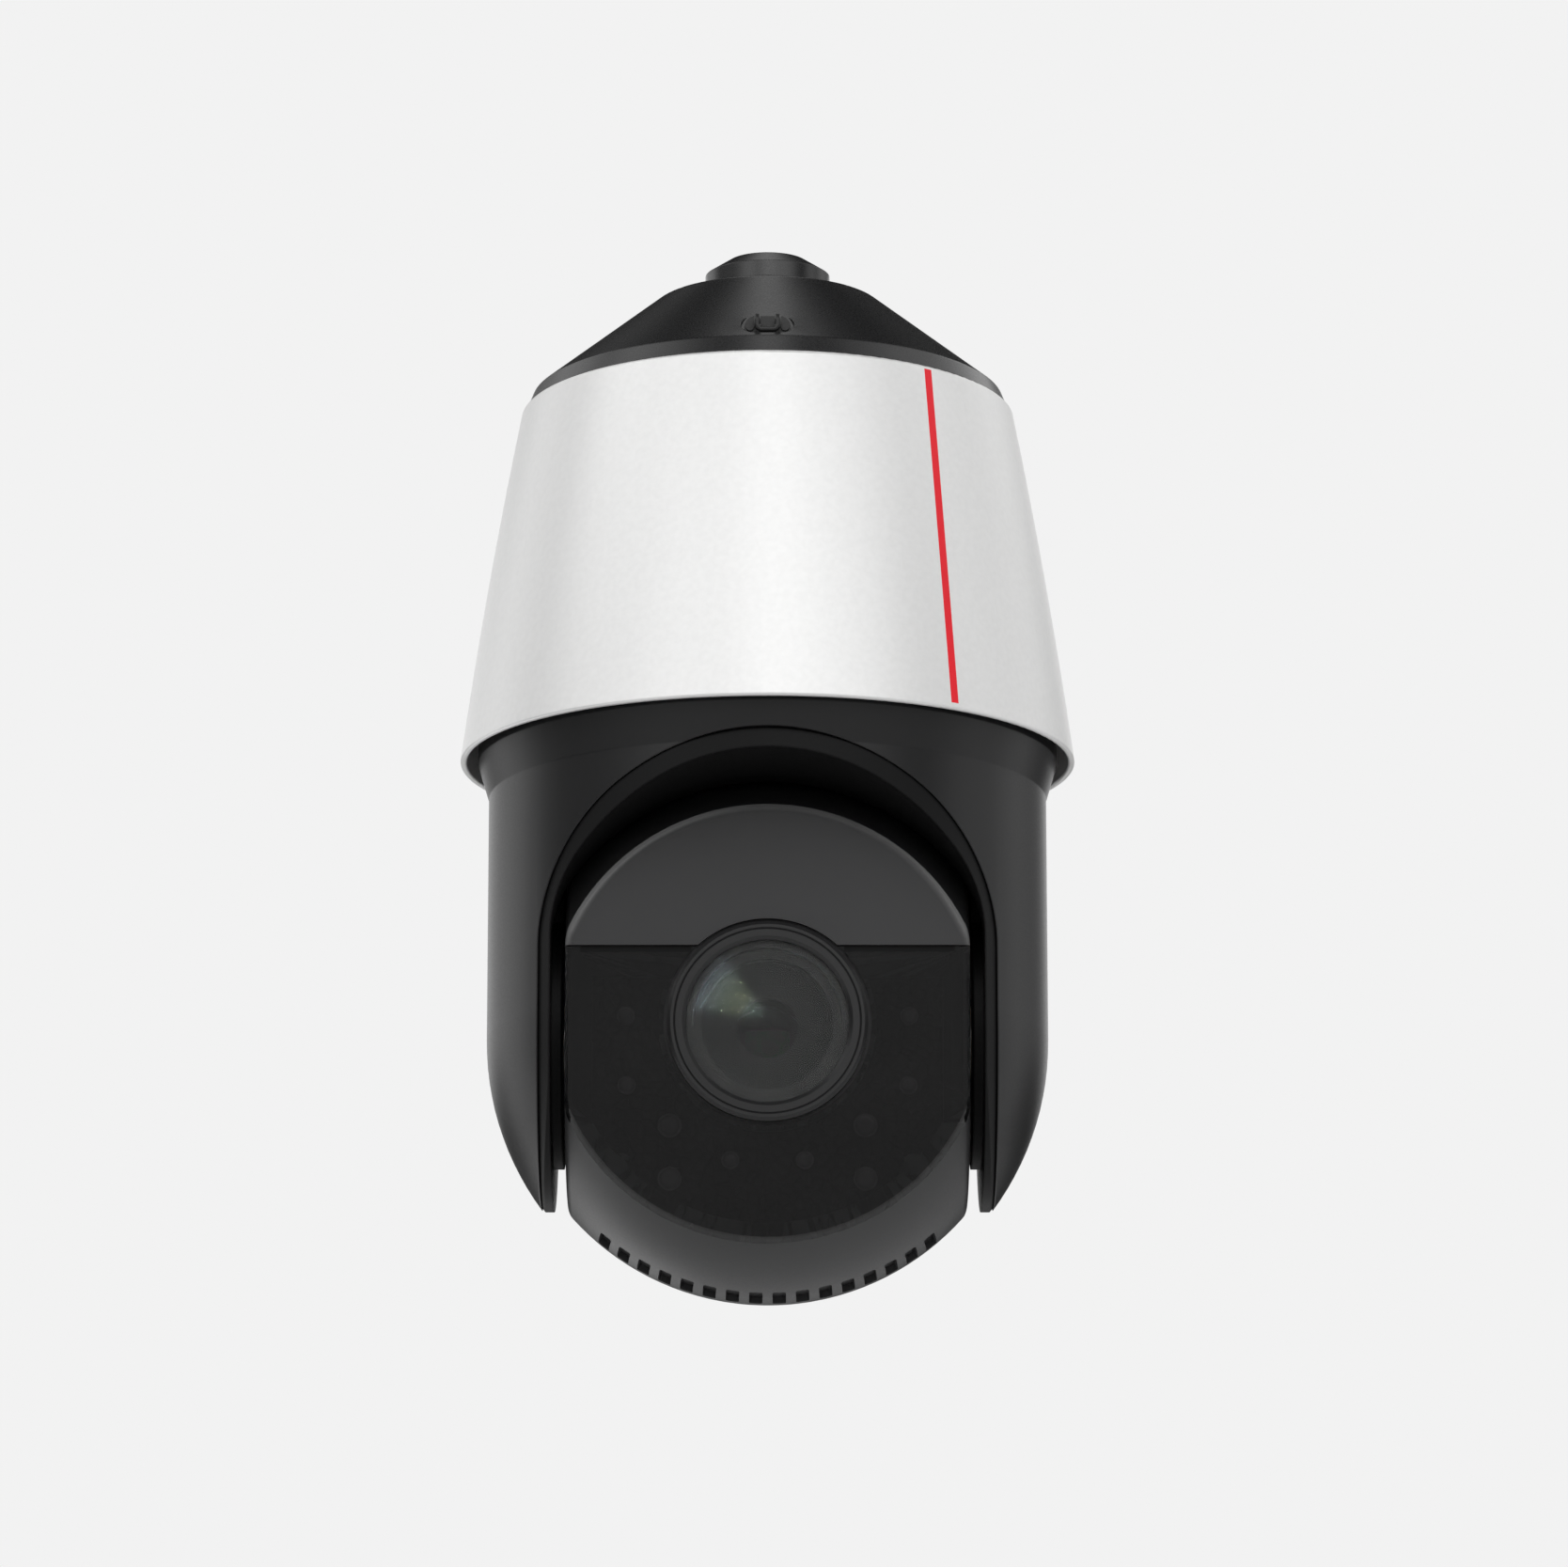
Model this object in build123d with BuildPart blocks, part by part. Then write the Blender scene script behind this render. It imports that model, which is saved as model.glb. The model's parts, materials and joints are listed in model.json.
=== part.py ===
from build123d import *
from math import acos, atan2, cos, pi, radians, sin, sqrt, tan
import os

# Hanging pan-tilt security camera. A fixed base hangs under a drop pipe, a yoke pans endlessly
# below it, and a ball-shaped head tilts between the arms of the yoke.
# The origin is at the mouth of the pipe thread, +Z is up and the lens looks towards -Y.
# All sizes are in millimetres.

# Clearances
seat_gap = 0.1  # around a piece that is fixed in its seat
run_gap = 0.05  # around a shaft that turns or a cell that slides
move_gap = 0.4  # between other faces that move past each other

# Fasteners, by nominal radius
screw_r = 2.0
screw_head_r = 3.5
screw_head_h = 2.4
small_screw_r = 1.25
small_head_r = 2.3
small_head_h = 1.5

# Pipe boss on top, with a G3/4 pipe thread cut at its minor radius
pipe_bore_r = 12.06
boss_mouth_r = 14.5
boss_r = 22.6
boss_height = 11.4
boss_taper = 5.3
spigot_r = 15.5
spigot_tail = 2.0
nut_height = 6.0
nut_flats = 40.0
grommet_r = 13.4
grommet_height = 4.0
cable_r = 4.0

# Top cap
crown_margin = 0.6
crown_drop = 5.6
shoulder_r = 41.0
cone_drop = 35.2
band_height = 6.3
band_lean = 2.5
cap_setback = 1.2
cap_wall = 4.0
cap_rim_height = 8.0
cap_screw_inset = 18.3
cap_screw_depth = 7.0
cap_land = 4.5
gasket_height = 1.5

# Safety-rope eye on the front of the cap
eye_inset = 13.1
eye_pocket_width = 19.0
eye_pocket_height = 9.6
eye_rise = 6.2
eye_wall = 4.0
eye_plate_width = 16.4
eye_plate_height = 8.0
eye_plate_t = 2.0
eye_leg_x = 3.6
eye_leg_rise = 2.2
eye_reach = 6.7
eye_rod_r = 1.1
eye_bend_r = 1.8
eye_screw_x = 6.2
eye_screw_depth = 3.5
eye_screw_r = 0.9
eye_screw_head_r = 1.5
eye_screw_head_h = 0.8

# Sun shroud with its stripe
shroud_rim_r = 110.0
shroud_top_r = 88.8
shroud_height = 129.6
shroud_bulge = 1.0
shroud_wall = 2.4
shroud_edge_r = 1.5
shroud_rim_edge_r = 0.9
stripe_foot_x = 64.9
stripe_head_x = 56.5
stripe_width = 2.5
stripe_depth = 0.5
stripe_foot_rise = 2.3

# Base housing inside the shroud
housing_wall = 3.0
housing_side_gap = 3.0
housing_flange_h = 4.0
housing_flange_width = 4.5
housing_inset = 16.0
floor_rise = 9.0
floor_t = 4.0
bearing_lip_h = 3.0
bearing_lip_width = 3.0
bearing_boss_wall = 4.0

# Circuit boards in the base
board_t = 1.6
board_margin = 2.0
board_post_inset = 7.0
board_post_r = 4.0
board_post_count = 3
power_board_rise = 65.0
board_spacing = 24.0
spacer_stud = 8.0
transformer_place = (-18.0, 8.0)
transformer_size = (26.0, 30.0)
transformer_h = 17.0
capacitor_places = ((14.0, 20.0), (28.0, 12.0), (14.0, 2.0))
capacitor_r = 6.0
capacitor_h = 19.0
terminal_places = ((-20.0, -36.0), (22.0, -30.0))
terminal_size = (20.0, 10.0)
terminal_h = 10.0
processor_place = (0.0, 10.0)
processor_size = (30.0, 30.0)
processor_h = 6.0
jack_places = ((-34.0, -14.0), (34.0, -14.0))
jack_size = (14.0, 18.0)
jack_h = 9.0

# Pan drive
pan_shaft_r = 22.0
pan_shaft_bore_r = 14.0
pan_flange_r = 36.0
pan_flange_h = 4.0
pan_flange_screw_circle = 30.0
pan_flange_screws = 6
pan_flange_screw_depth = 5.5
bearing_height = 10.0
bearing_ring_t = 4.5
pan_gear_h = 6.0
pan_gear_lift = 0.8
pan_nut_h = 4.0
pan_nut_wall = 5.0
gear_module = 1.25
gear_addendum = 0.95  # in modules
gear_dedendum = 1.25  # in modules
pressure_angle = 25.0
flank_relief = 0.08
centre_relief = 0.05
pan_teeth = 60
tilt_teeth = 48
pinion_teeth = 15
motor_r = 17.5
motor_h = 28.0
motor_shaft_r = 2.5
motor_pilot_r = 6.0
motor_shaft_depth = 8.0
bracket_t = 2.5
bracket_lift = 3.0
bracket_post_r = 4.0
bracket_post_gap = 2.0
bracket_margin = 3.0
bracket_front_swing = 42.0
bracket_rear_swing = 35.0
slip_ring_r = 10.0
slip_ring_flange_r = 16.0
slip_ring_flange_h = 2.0
slip_ring_drop = 20.0
slip_rotor_r = 4.0
slip_rotor_h = 7.0
slip_disc_h = 3.0

# Yoke
neck_top_rise = 6.0
neck_gap = 4.1
neck_drop = 13.0
neck_web = 8.0
neck_pocket_wall = 8.0
neck_hub_wall = 6.0
arm_margin = 6.6
arm_wall = 3.0
arm_roof = 6.0
cavity_roof = 5.0
arch_drop = 7.6
arch_corner_r = 65.0
cavity_gap = 2.5

# Liner of the opening, with a lip along the arms and a tray for the gear in each plate
liner_arch_t = 7.0
liner_corner_r = 45.0
liner_setback = 0.6
lip_gap = 5.0
lip_t = 4.3
lip_edge_r = 0.6
lip_foot = 60.0
flat_gap = 1.5
tray_r = 45.0
tray_head_y = 23.0
tray_rise = 66.0
tray_floor = 3.0
tray_wall = 3.0
liner_boss_r = 5.0
liner_screw_circle = 50.0
liner_screw_depth = 4.0
liner_screw_angles = (-90.0, 20.0, 160.0)

# Tilt drive
hub_shaft_r = 10.0
hub_cable_r = 6.0
hub_flange_r = 20.0
hub_flange_h = 3.0
hub_screw_circle = 15.5
hub_screw_count = 4
hub_screw_depth = 3.0
bush_wall = 3.0
tilt_gear_h = 4.0
tilt_gear_cap_r = 13.0
tilt_gear_cap_h = 2.0
tilt_motor_r = 17.0
tilt_motor_h = 11.0
tilt_bracket_t = 1.5
tilt_bracket_gap = 1.4
tilt_shaft_r = 2.0
tilt_shaft_depth = 6.0
tilt_pilot_r = 5.0
tilt_leg_r = 3.0
tilt_leg_gap = 2.5
tilt_leg_swing = 38.0
tilt_leg_top_rise = 12.0
tilt_leg_top_x = 14.0

# Ball-shaped head
head_tilt = 3.0
ball_r = 93.0
ball_flat_drop = 22.5
ball_edge_r = 6.0
head_wall = 4.5
face_drop = 38.0
face_t = 3.0
face_edge_r = 2.6
face_wall_t = 4.5
window_recess = 0.4
groove_height = 25.7
groove_width = 2.4
groove_floor_t = 1.0
seam_distance = -24.0
seal_t = 1.0
seal_inset = 1.2
seal_width = 2.2
post_inset = 21.0
post_r = 5.0
post_screw_depth = 14.0
post_count = 4
rear_screw_seat = 21.0
vent_count = 16
vent_pitch = 5.13
vent_width = 4.7
vent_near = 1.8
vent_far = 19.8
vent_depth = 3.0
vent_corner_r = 1.2

# Infrared lamps around the lens
lamp_board_margin = 3.0
lamp_opening_rim = 5.0
lamp_opening_side = 5.0
lamp_opening_top = 16.0
lamp_ring_wall = 5.0
lamp_body_r = 4.2
lamp_body_h = 2.0
lamp_dome_r = 3.4
lamp_dome_h = 1.8
lamp_dome_edge = 1.6
lamp_small_share = 0.75
# Places of the lamps, as a swing from straight down and a distance in from the opening's edge
lamp_small = ((93.0, 20.6), (66.0, 16.4), (15.1, 20.4))
lamp_large = ((43.5, 20.6), (32.0, 5.85))

# Lens
bezel_r = 35.0
bezel_lip_r = 28.5
bezel_lip_t = 2.0
bezel_proud = 3.0
bezel_edge = 1.2
bezel_gap = 1.2
bezel_ring_r = 32.4
bezel_ring_depth = 0.4
glass_r = 30.0
glass_t = 2.0
barrel_hole_r = 33.0
barrel_wall = 3.8
barrel_flange_r = 37.5
barrel_flange_t = 3.0
front_lens_recess = 11.9
front_lens_r = 26.0
front_lens_t = 5.0
front_lens_crown = 3.0
front_lens_back_crown = 1.0
retainer_r = 23.0
retainer_t = 2.0
barrel_bore_r = 23.5
iris_gap = 6.0
iris_t = 2.0
iris_r = 10.5
cell_h = 9.0
cell_lens_r = 12.0
cell_lens_edge = 3.0
cell_lens_crown = 2.5
zoom_gap = 5.0
focus_gap = 21.0
barrel_tail = 8.0
rod_r = 1.2
rod_circle = 18.0
rod_seat = 1.2
holder_t = 3.0
holder_hole = 13.0
sensor_size = 12.0
sensor_t = 2.0
sensor_board_size = 40.0

# Heights and places that follow
crown_z = -boss_height
shoulder_z = crown_z - crown_drop
band_top_z = shoulder_z - cone_drop
cap_base_z = band_top_z - band_height
rim_z = cap_base_z - shroud_height
cavity_r = ball_r + cavity_gap
tilt_z = rim_z - cavity_r - cavity_roof
crown_r = boss_r + crown_margin
band_r = shroud_top_r - cap_setback
band_top_r = band_r - band_lean
eye_seat_y = band_top_r - eye_inset
cap_roof_z = crown_z - cap_wall
spigot_end_z = cap_roof_z - nut_height - spigot_tail
cone_angle = atan2(cone_drop, band_top_r - shoulder_r)
cap_screw_circle = shroud_top_r - cap_screw_inset
land_in_r = cap_screw_circle - cap_land
land_out_r = cap_screw_circle + cap_land
shroud_lip_r = land_out_r + seat_gap
gasket_base_z = cap_base_z - gasket_height
flange_base_z = cap_base_z - shroud_wall - housing_flange_h
flange_r = shroud_top_r - shroud_wall - housing_side_gap
housing_top_r = flange_r - housing_flange_width
housing_base_r = shroud_rim_r - housing_inset
floor_base_z = rim_z + floor_rise
floor_top_z = floor_base_z + floor_t
bearing_in_r = pan_shaft_r + bearing_ring_t
bearing_mid_r = bearing_in_r + move_gap
bearing_out_r = bearing_mid_r + bearing_ring_t
bearing_base_z = floor_base_z + bearing_lip_h
bearing_top_z = bearing_base_z + bearing_height
neck_rim_r = shroud_rim_r - shroud_wall - neck_gap
neck_top_z = rim_z + neck_top_rise
crease_z = rim_z - neck_drop
pan_gear_base_z = bearing_top_z + pan_gear_lift
pan_gear_top_z = pan_gear_base_z + pan_gear_h
pan_shaft_top_z = pan_gear_top_z + pan_nut_h
bracket_base_z = pan_shaft_top_z + bracket_lift
bracket_top_z = bracket_base_z + bracket_t
pan_pitch_r = gear_module * pan_teeth / 2
pinion_pitch_r = gear_module * pinion_teeth / 2
tilt_pitch_r = gear_module * tilt_teeth / 2
pan_centre = pan_pitch_r + pinion_pitch_r + centre_relief
tilt_centre = tilt_pitch_r + pinion_pitch_r + centre_relief
board_r = land_in_r - board_margin
board_post_circle = board_r - board_post_inset
power_board_z = floor_top_z + power_board_rise
control_board_z = power_board_z + board_t + board_spacing
beyond = 2 * shroud_rim_r  # further than any piece reaches

# Planes and axes of the head, which looks a little below the horizon at rest
tilt_centre_point = (0, 0, tilt_z)
look = (0, -cos(radians(head_tilt)), -sin(radians(head_tilt)))
lens_plane = Plane(origin=tilt_centre_point, x_dir=(1, 0, 0), z_dir=look)
lens_section = Plane(origin=tilt_centre_point, x_dir=(1, 0, 0), z_dir=-lens_plane.y_dir)
lens_axis = Axis(tilt_centre_point, look)
tilt_section = Plane(origin=tilt_centre_point, x_dir=(1, 0, 0), z_dir=(0, -1, 0))

os.makedirs("parts", exist_ok=True)


def outline(points, plane=Plane.XZ):
    """Straight-sided face through the points, in radius and height on the default plane."""
    with BuildSketch(plane) as sketch:
        with BuildLine():
            Polyline(*points, close=True)
        make_face()
    return sketch.sketch


def band(inner, outer, low, high, plane=Plane.XZ):
    """Rectangle from one radius to another and from one height to another."""
    return outline([(inner, low), (outer, low), (outer, high), (inner, high)], plane)


def involute(angle):
    return tan(angle) - angle


def gear_face(teeth, plane):
    """Spur gear outline with one tooth on the plane's x direction."""
    pitch = gear_module * teeth / 2
    base = pitch * cos(radians(pressure_angle))
    root = pitch - gear_dedendum * gear_module
    tip = pitch + gear_addendum * gear_module
    start = max(base, root)
    half_pitch = pi / 2 / teeth - flank_relief / pitch + involute(radians(pressure_angle))

    def point(radius, turn, side):
        angle = turn + side * (half_pitch - involute(acos(min(1.0, base / max(radius, start)))))
        return (radius * cos(angle), radius * sin(angle))

    with BuildSketch(plane) as sketch:
        with BuildLine():
            for tooth in range(teeth):
                turn = 2 * pi * tooth / teeth
                middle = (start + tip) / 2
                if root < start:
                    Line(point(root, turn, -1), point(start, turn, -1))
                ThreePointArc(point(start, turn, -1), point(middle, turn, -1), point(tip, turn, -1))
                Line(point(tip, turn, -1), point(tip, turn, 1))
                ThreePointArc(point(tip, turn, 1), point(middle, turn, 1), point(start, turn, 1))
                if root < start:
                    Line(point(start, turn, 1), point(root, turn, 1))
                Line(point(root, turn, 1), point(root, turn + 2 * pi / teeth, -1))
        make_face()
    return sketch.sketch


def finish(piece, name):
    """Label a finished piece and write it."""
    piece.part.label = name
    export_step(piece.part, f"parts/{name}.step")


# Fixed base
# Pipe boss, its nut and the cable grommet
with BuildPart() as pipe_boss:
    revolve(
        outline(
            [
                (pipe_bore_r, 0),
                (boss_mouth_r, 0),
                (boss_r, -boss_taper),
                (boss_r, crown_z),
                (spigot_r, crown_z),
                (spigot_r, spigot_end_z),
                (grommet_r + seat_gap, spigot_end_z),
                (grommet_r + seat_gap, spigot_end_z + grommet_height),
                (pipe_bore_r, spigot_end_z + grommet_height),
            ]
        ),
        axis=Axis.Z,
    )
finish(pipe_boss, "pipe_boss")

with BuildPart() as boss_nut:
    with BuildSketch(Plane.XY.offset(cap_roof_z)):
        RegularPolygon(nut_flats / 2, 6, major_radius=False)
        Circle(spigot_r + seat_gap, mode=Mode.SUBTRACT)
    extrude(amount=-nut_height)
finish(boss_nut, "boss_nut")

with BuildPart() as cable_grommet:
    revolve(band(cable_r, grommet_r, spigot_end_z, spigot_end_z + grommet_height), axis=Axis.Z)
finish(cable_grommet, "cable_grommet")

# Top cap: a cast cone with a thick rim and a pocket at the front for the rope eye
roof_drop = cap_wall / cos(cone_angle)
rim_top_z = cap_base_z + cap_rim_height
rim_meets_r = shoulder_r + (shoulder_z - roof_drop - rim_top_z) / tan(cone_angle)
nut_corner_r = nut_flats / 2 / cos(radians(30))
eye_z = band_top_z + eye_rise

with BuildPart() as cap_hollow:
    revolve(
        outline(
            [
                (0, cap_roof_z),
                (nut_corner_r + seat_gap, cap_roof_z),
                (shoulder_r, shoulder_z - roof_drop),
                (rim_meets_r, rim_top_z),
                (land_in_r, rim_top_z),
                (land_in_r, cap_base_z),
                (0, cap_base_z),
            ]
        ),
        axis=Axis.Z,
    )
    with BuildSketch(Plane.XZ.offset(eye_seat_y - eye_wall)):
        with Locations((0, cap_base_z)):
            Rectangle(eye_pocket_width + 2 * eye_wall, beyond)
    extrude(amount=beyond, mode=Mode.SUBTRACT)

with BuildPart() as top_cap:
    with BuildSketch(Plane.XZ) as cap_section:
        with BuildLine():
            Polyline(
                (0, crown_z),
                (crown_r, crown_z),
                (shoulder_r, shoulder_z),
                (band_top_r, band_top_z),
                (band_r, cap_base_z),
                (0, cap_base_z),
                close=True,
            )
        make_face()
        fillet(cap_section.vertices().sort_by(Axis.X)[-3:-2], cap_wall)
        fillet(cap_section.vertices().sort_by(Axis.X)[-2:-1], band_lean / 2)
    revolve(axis=Axis.Z)
    add(cap_hollow.part, mode=Mode.SUBTRACT)
    with BuildSketch(Plane.XZ.offset(eye_seat_y)):
        with Locations((0, eye_z)):
            SlotOverall(eye_pocket_width, eye_pocket_height)
    extrude(amount=beyond, mode=Mode.SUBTRACT)
    with BuildSketch(Plane.XZ.offset(eye_seat_y)):
        with Locations((-eye_screw_x, eye_z), (eye_screw_x, eye_z)):
            Circle(eye_screw_r + seat_gap)
    extrude(amount=-eye_screw_depth, mode=Mode.SUBTRACT)
    with BuildSketch(Plane.XY.offset(crown_z)):
        Circle(spigot_r + seat_gap)
    extrude(amount=-cap_wall, mode=Mode.SUBTRACT)
    with BuildSketch(Plane.XY.offset(cap_base_z)):
        with PolarLocations(cap_screw_circle, 4, start_angle=45):
            Circle(screw_r + seat_gap)
    extrude(amount=cap_screw_depth, mode=Mode.SUBTRACT)
finish(top_cap, "top_cap")

# Rope eye: a plate with a bent rod, and its two screws
eye_plate_front = -(eye_seat_y + eye_plate_t)
leg_z = eye_z + eye_leg_rise
foot_z = eye_z - eye_plate_height / 2 + eye_rod_r + seat_gap
reach_y = eye_plate_front - eye_reach
with BuildPart() as rope_eye:
    with BuildSketch(Plane.XZ.offset(eye_seat_y)):
        with Locations((0, eye_z)):
            SlotOverall(eye_plate_width, eye_plate_height)
        with Locations((-eye_screw_x, eye_z), (eye_screw_x, eye_z)):
            Circle(eye_screw_r + seat_gap, mode=Mode.SUBTRACT)
    extrude(amount=eye_plate_t)
    with BuildLine() as rod_path:
        FilletPolyline(
            (-eye_leg_x, -eye_seat_y, leg_z),
            (-eye_leg_x, reach_y, leg_z),
            (-eye_leg_x, reach_y, foot_z),
            (eye_leg_x, reach_y, foot_z),
            (eye_leg_x, reach_y, leg_z),
            (eye_leg_x, -eye_seat_y, leg_z),
            radius=eye_bend_r,
        )
    with BuildSketch(Plane(origin=rod_path.line @ 0, z_dir=rod_path.line % 0)):
        Circle(eye_rod_r)
    sweep()
finish(rope_eye, "rope_eye")

with BuildPart() as rope_eye_screws:
    with BuildSketch(Plane.XZ.offset(eye_seat_y + eye_plate_t)):
        with Locations((-eye_screw_x, eye_z), (eye_screw_x, eye_z)):
            Circle(eye_screw_head_r)
    extrude(amount=eye_screw_head_h)
    with BuildSketch(Plane.XZ.offset(eye_seat_y + eye_plate_t)):
        with Locations((-eye_screw_x, eye_z), (eye_screw_x, eye_z)):
            Circle(eye_screw_r)
    extrude(amount=-eye_plate_t - eye_screw_depth + seat_gap)
finish(rope_eye_screws, "rope_eye_screws")

# Gasket and screws that close the base
with BuildPart() as cap_gasket:
    with BuildSketch(Plane.XY.offset(gasket_base_z)):
        Circle(land_out_r)
        Circle(land_in_r, mode=Mode.SUBTRACT)
        with PolarLocations(cap_screw_circle, 4, start_angle=45):
            Circle(screw_r + seat_gap, mode=Mode.SUBTRACT)
    extrude(amount=gasket_height)
finish(cap_gasket, "cap_gasket")

with BuildPart() as cap_screws:
    with BuildSketch(Plane.XY.offset(flange_base_z)):
        with PolarLocations(cap_screw_circle, 4, start_angle=45):
            Circle(screw_head_r)
    extrude(amount=-screw_head_h)
    with BuildSketch(Plane.XY.offset(flange_base_z)):
        with PolarLocations(cap_screw_circle, 4, start_angle=45):
            Circle(screw_r)
    extrude(amount=cap_base_z - flange_base_z + cap_screw_depth - seat_gap)
finish(cap_screws, "cap_screws")

# Sun shroud: a thin bulged cone with an inner lip, and the stripe let into its skin
mid_r = (shroud_rim_r + shroud_top_r) / 2 + shroud_bulge
mid_z = (rim_z + cap_base_z) / 2


def shroud_skin(depth):
    """Section of the skin of the shroud to a depth below its outer face."""
    with BuildSketch(Plane.XZ) as sketch:
        with BuildLine():
            ThreePointArc((shroud_rim_r, rim_z), (mid_r, mid_z), (shroud_top_r, cap_base_z))
            Line((shroud_top_r, cap_base_z), (shroud_top_r - depth, cap_base_z))
            ThreePointArc(
                (shroud_top_r - depth, cap_base_z), (mid_r - depth, mid_z), (shroud_rim_r - depth, rim_z)
            )
            Line((shroud_rim_r - depth, rim_z), (shroud_rim_r, rim_z))
        make_face()
    return sketch.sketch


with BuildPart() as shroud_stripe:
    revolve(shroud_skin(stripe_depth), axis=Axis.Z)
    with BuildSketch(Plane.XZ):
        with BuildLine():
            Polyline(
                (stripe_foot_x - stripe_width / 2, rim_z + stripe_foot_rise),
                (stripe_foot_x + stripe_width / 2, rim_z + stripe_foot_rise),
                (stripe_head_x + stripe_width / 2, cap_base_z - shroud_edge_r),
                (stripe_head_x - stripe_width / 2, cap_base_z - shroud_edge_r),
                close=True,
            )
        make_face()
    extrude(amount=beyond, mode=Mode.INTERSECT)
finish(shroud_stripe, "shroud_stripe")

with BuildPart() as sun_shroud:
    with BuildSketch(Plane.XZ) as shroud_section:
        add(shroud_skin(shroud_wall))
        add(band(shroud_lip_r, shroud_top_r - shroud_wall / 2, cap_base_z - shroud_wall, cap_base_z))
        corner = shroud_section.vertices().group_by(Axis.Y)[-1].sort_by(Axis.X)[-1:]
        fillet(corner, shroud_edge_r)
        fillet(shroud_section.vertices().group_by(Axis.Y)[0], shroud_rim_edge_r)
    revolve(axis=Axis.Z)
    add(shroud_stripe.part, mode=Mode.SUBTRACT)
finish(sun_shroud, "sun_shroud")

# Base housing: a can with a bearing seat in its floor and a flange under the cap
with BuildPart() as base_housing:
    revolve(
        outline(
            [
                (bearing_out_r - bearing_lip_width, floor_base_z),
                (housing_base_r, floor_base_z),
                (housing_top_r, flange_base_z),
                (flange_r, flange_base_z),
                (flange_r, cap_base_z - shroud_wall),
                (shroud_lip_r, cap_base_z - shroud_wall),
                (shroud_lip_r, gasket_base_z),
                (land_in_r, gasket_base_z),
                (land_in_r, flange_base_z),
                (housing_top_r - housing_wall, flange_base_z),
                (housing_base_r - housing_wall, floor_top_z),
                (bearing_out_r + bearing_boss_wall, floor_top_z),
                (bearing_out_r + bearing_boss_wall, bearing_top_z - pan_gear_lift),
                (bearing_out_r + seat_gap, bearing_top_z - pan_gear_lift),
                (bearing_out_r + seat_gap, bearing_base_z),
                (bearing_out_r - bearing_lip_width, bearing_base_z),
            ]
        ),
        axis=Axis.Z,
    )
    with BuildSketch(Plane.XY.offset(floor_top_z)):
        with PolarLocations(board_post_circle, board_post_count, start_angle=-90):
            Circle(board_post_r)
    extrude(amount=power_board_rise)
    with BuildSketch(Plane.XY.offset(power_board_z)):
        with PolarLocations(board_post_circle, board_post_count, start_angle=-90):
            Circle(small_screw_r + seat_gap)
    extrude(amount=-spacer_stud, mode=Mode.SUBTRACT)
    with BuildSketch(Plane.XY.offset(flange_base_z)):
        with PolarLocations(cap_screw_circle, 4, start_angle=45):
            Circle(screw_r + seat_gap)
    extrude(amount=cap_base_z - flange_base_z, mode=Mode.SUBTRACT)
finish(base_housing, "base_housing")

# Circuit boards on their posts and spacers
with BuildPart() as power_board:
    with BuildSketch(Plane.XY.offset(power_board_z)):
        Circle(board_r)
        with PolarLocations(board_post_circle, board_post_count, start_angle=-90):
            Circle(small_screw_r + seat_gap, mode=Mode.SUBTRACT)
    extrude(amount=board_t)
    with BuildSketch(Plane.XY.offset(power_board_z + board_t)):
        with Locations(transformer_place):
            Rectangle(*transformer_size)
    extrude(amount=transformer_h)
    with BuildSketch(Plane.XY.offset(power_board_z + board_t)):
        with Locations(*capacitor_places):
            Circle(capacitor_r)
    extrude(amount=capacitor_h)
    with BuildSketch(Plane.XY.offset(power_board_z + board_t)):
        with Locations(*terminal_places):
            Rectangle(*terminal_size)
    extrude(amount=terminal_h)
finish(power_board, "power_board")

with BuildPart() as control_board:
    with BuildSketch(Plane.XY.offset(control_board_z)):
        Circle(board_r)
        with PolarLocations(board_post_circle, board_post_count, start_angle=-90):
            Circle(small_screw_r + seat_gap, mode=Mode.SUBTRACT)
    extrude(amount=board_t)
    with BuildSketch(Plane.XY.offset(control_board_z + board_t)):
        with Locations(processor_place):
            Rectangle(*processor_size)
    extrude(amount=processor_h)
    with BuildSketch(Plane.XY.offset(control_board_z + board_t)):
        with Locations(*jack_places):
            Rectangle(*jack_size)
    extrude(amount=jack_h)
finish(control_board, "control_board")

with BuildPart() as board_spacers:
    with BuildSketch(Plane.XY.offset(power_board_z + board_t)):
        with PolarLocations(board_post_circle, board_post_count, start_angle=-90):
            RegularPolygon(board_post_r - seat_gap, 6)
    extrude(amount=board_spacing)
    with BuildSketch(Plane.XY.offset(power_board_z + board_t)):
        with PolarLocations(board_post_circle, board_post_count, start_angle=-90):
            Circle(small_screw_r)
    extrude(amount=-board_t - spacer_stud + seat_gap)
    with BuildSketch(Plane.XY.offset(control_board_z)):
        with PolarLocations(board_post_circle, board_post_count, start_angle=-90):
            Circle(small_screw_r + seat_gap)
    extrude(amount=-spacer_stud, mode=Mode.SUBTRACT)
finish(board_spacers, "board_spacers")

with BuildPart() as board_screws:
    with BuildSketch(Plane.XY.offset(control_board_z + board_t)):
        with PolarLocations(board_post_circle, board_post_count, start_angle=-90):
            Circle(small_head_r)
    extrude(amount=small_head_h)
    with BuildSketch(Plane.XY.offset(control_board_z + board_t)):
        with PolarLocations(board_post_circle, board_post_count, start_angle=-90):
            Circle(small_screw_r)
    extrude(amount=-board_t - spacer_stud + seat_gap)
finish(board_screws, "board_screws")

# Pan bearing, sealed, with its outer ring in the housing
with BuildPart() as pan_bearing_outer:
    revolve(band(bearing_mid_r, bearing_out_r, bearing_base_z, bearing_top_z - pan_gear_lift), axis=Axis.Z)
finish(pan_bearing_outer, "pan_bearing_outer")

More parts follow.
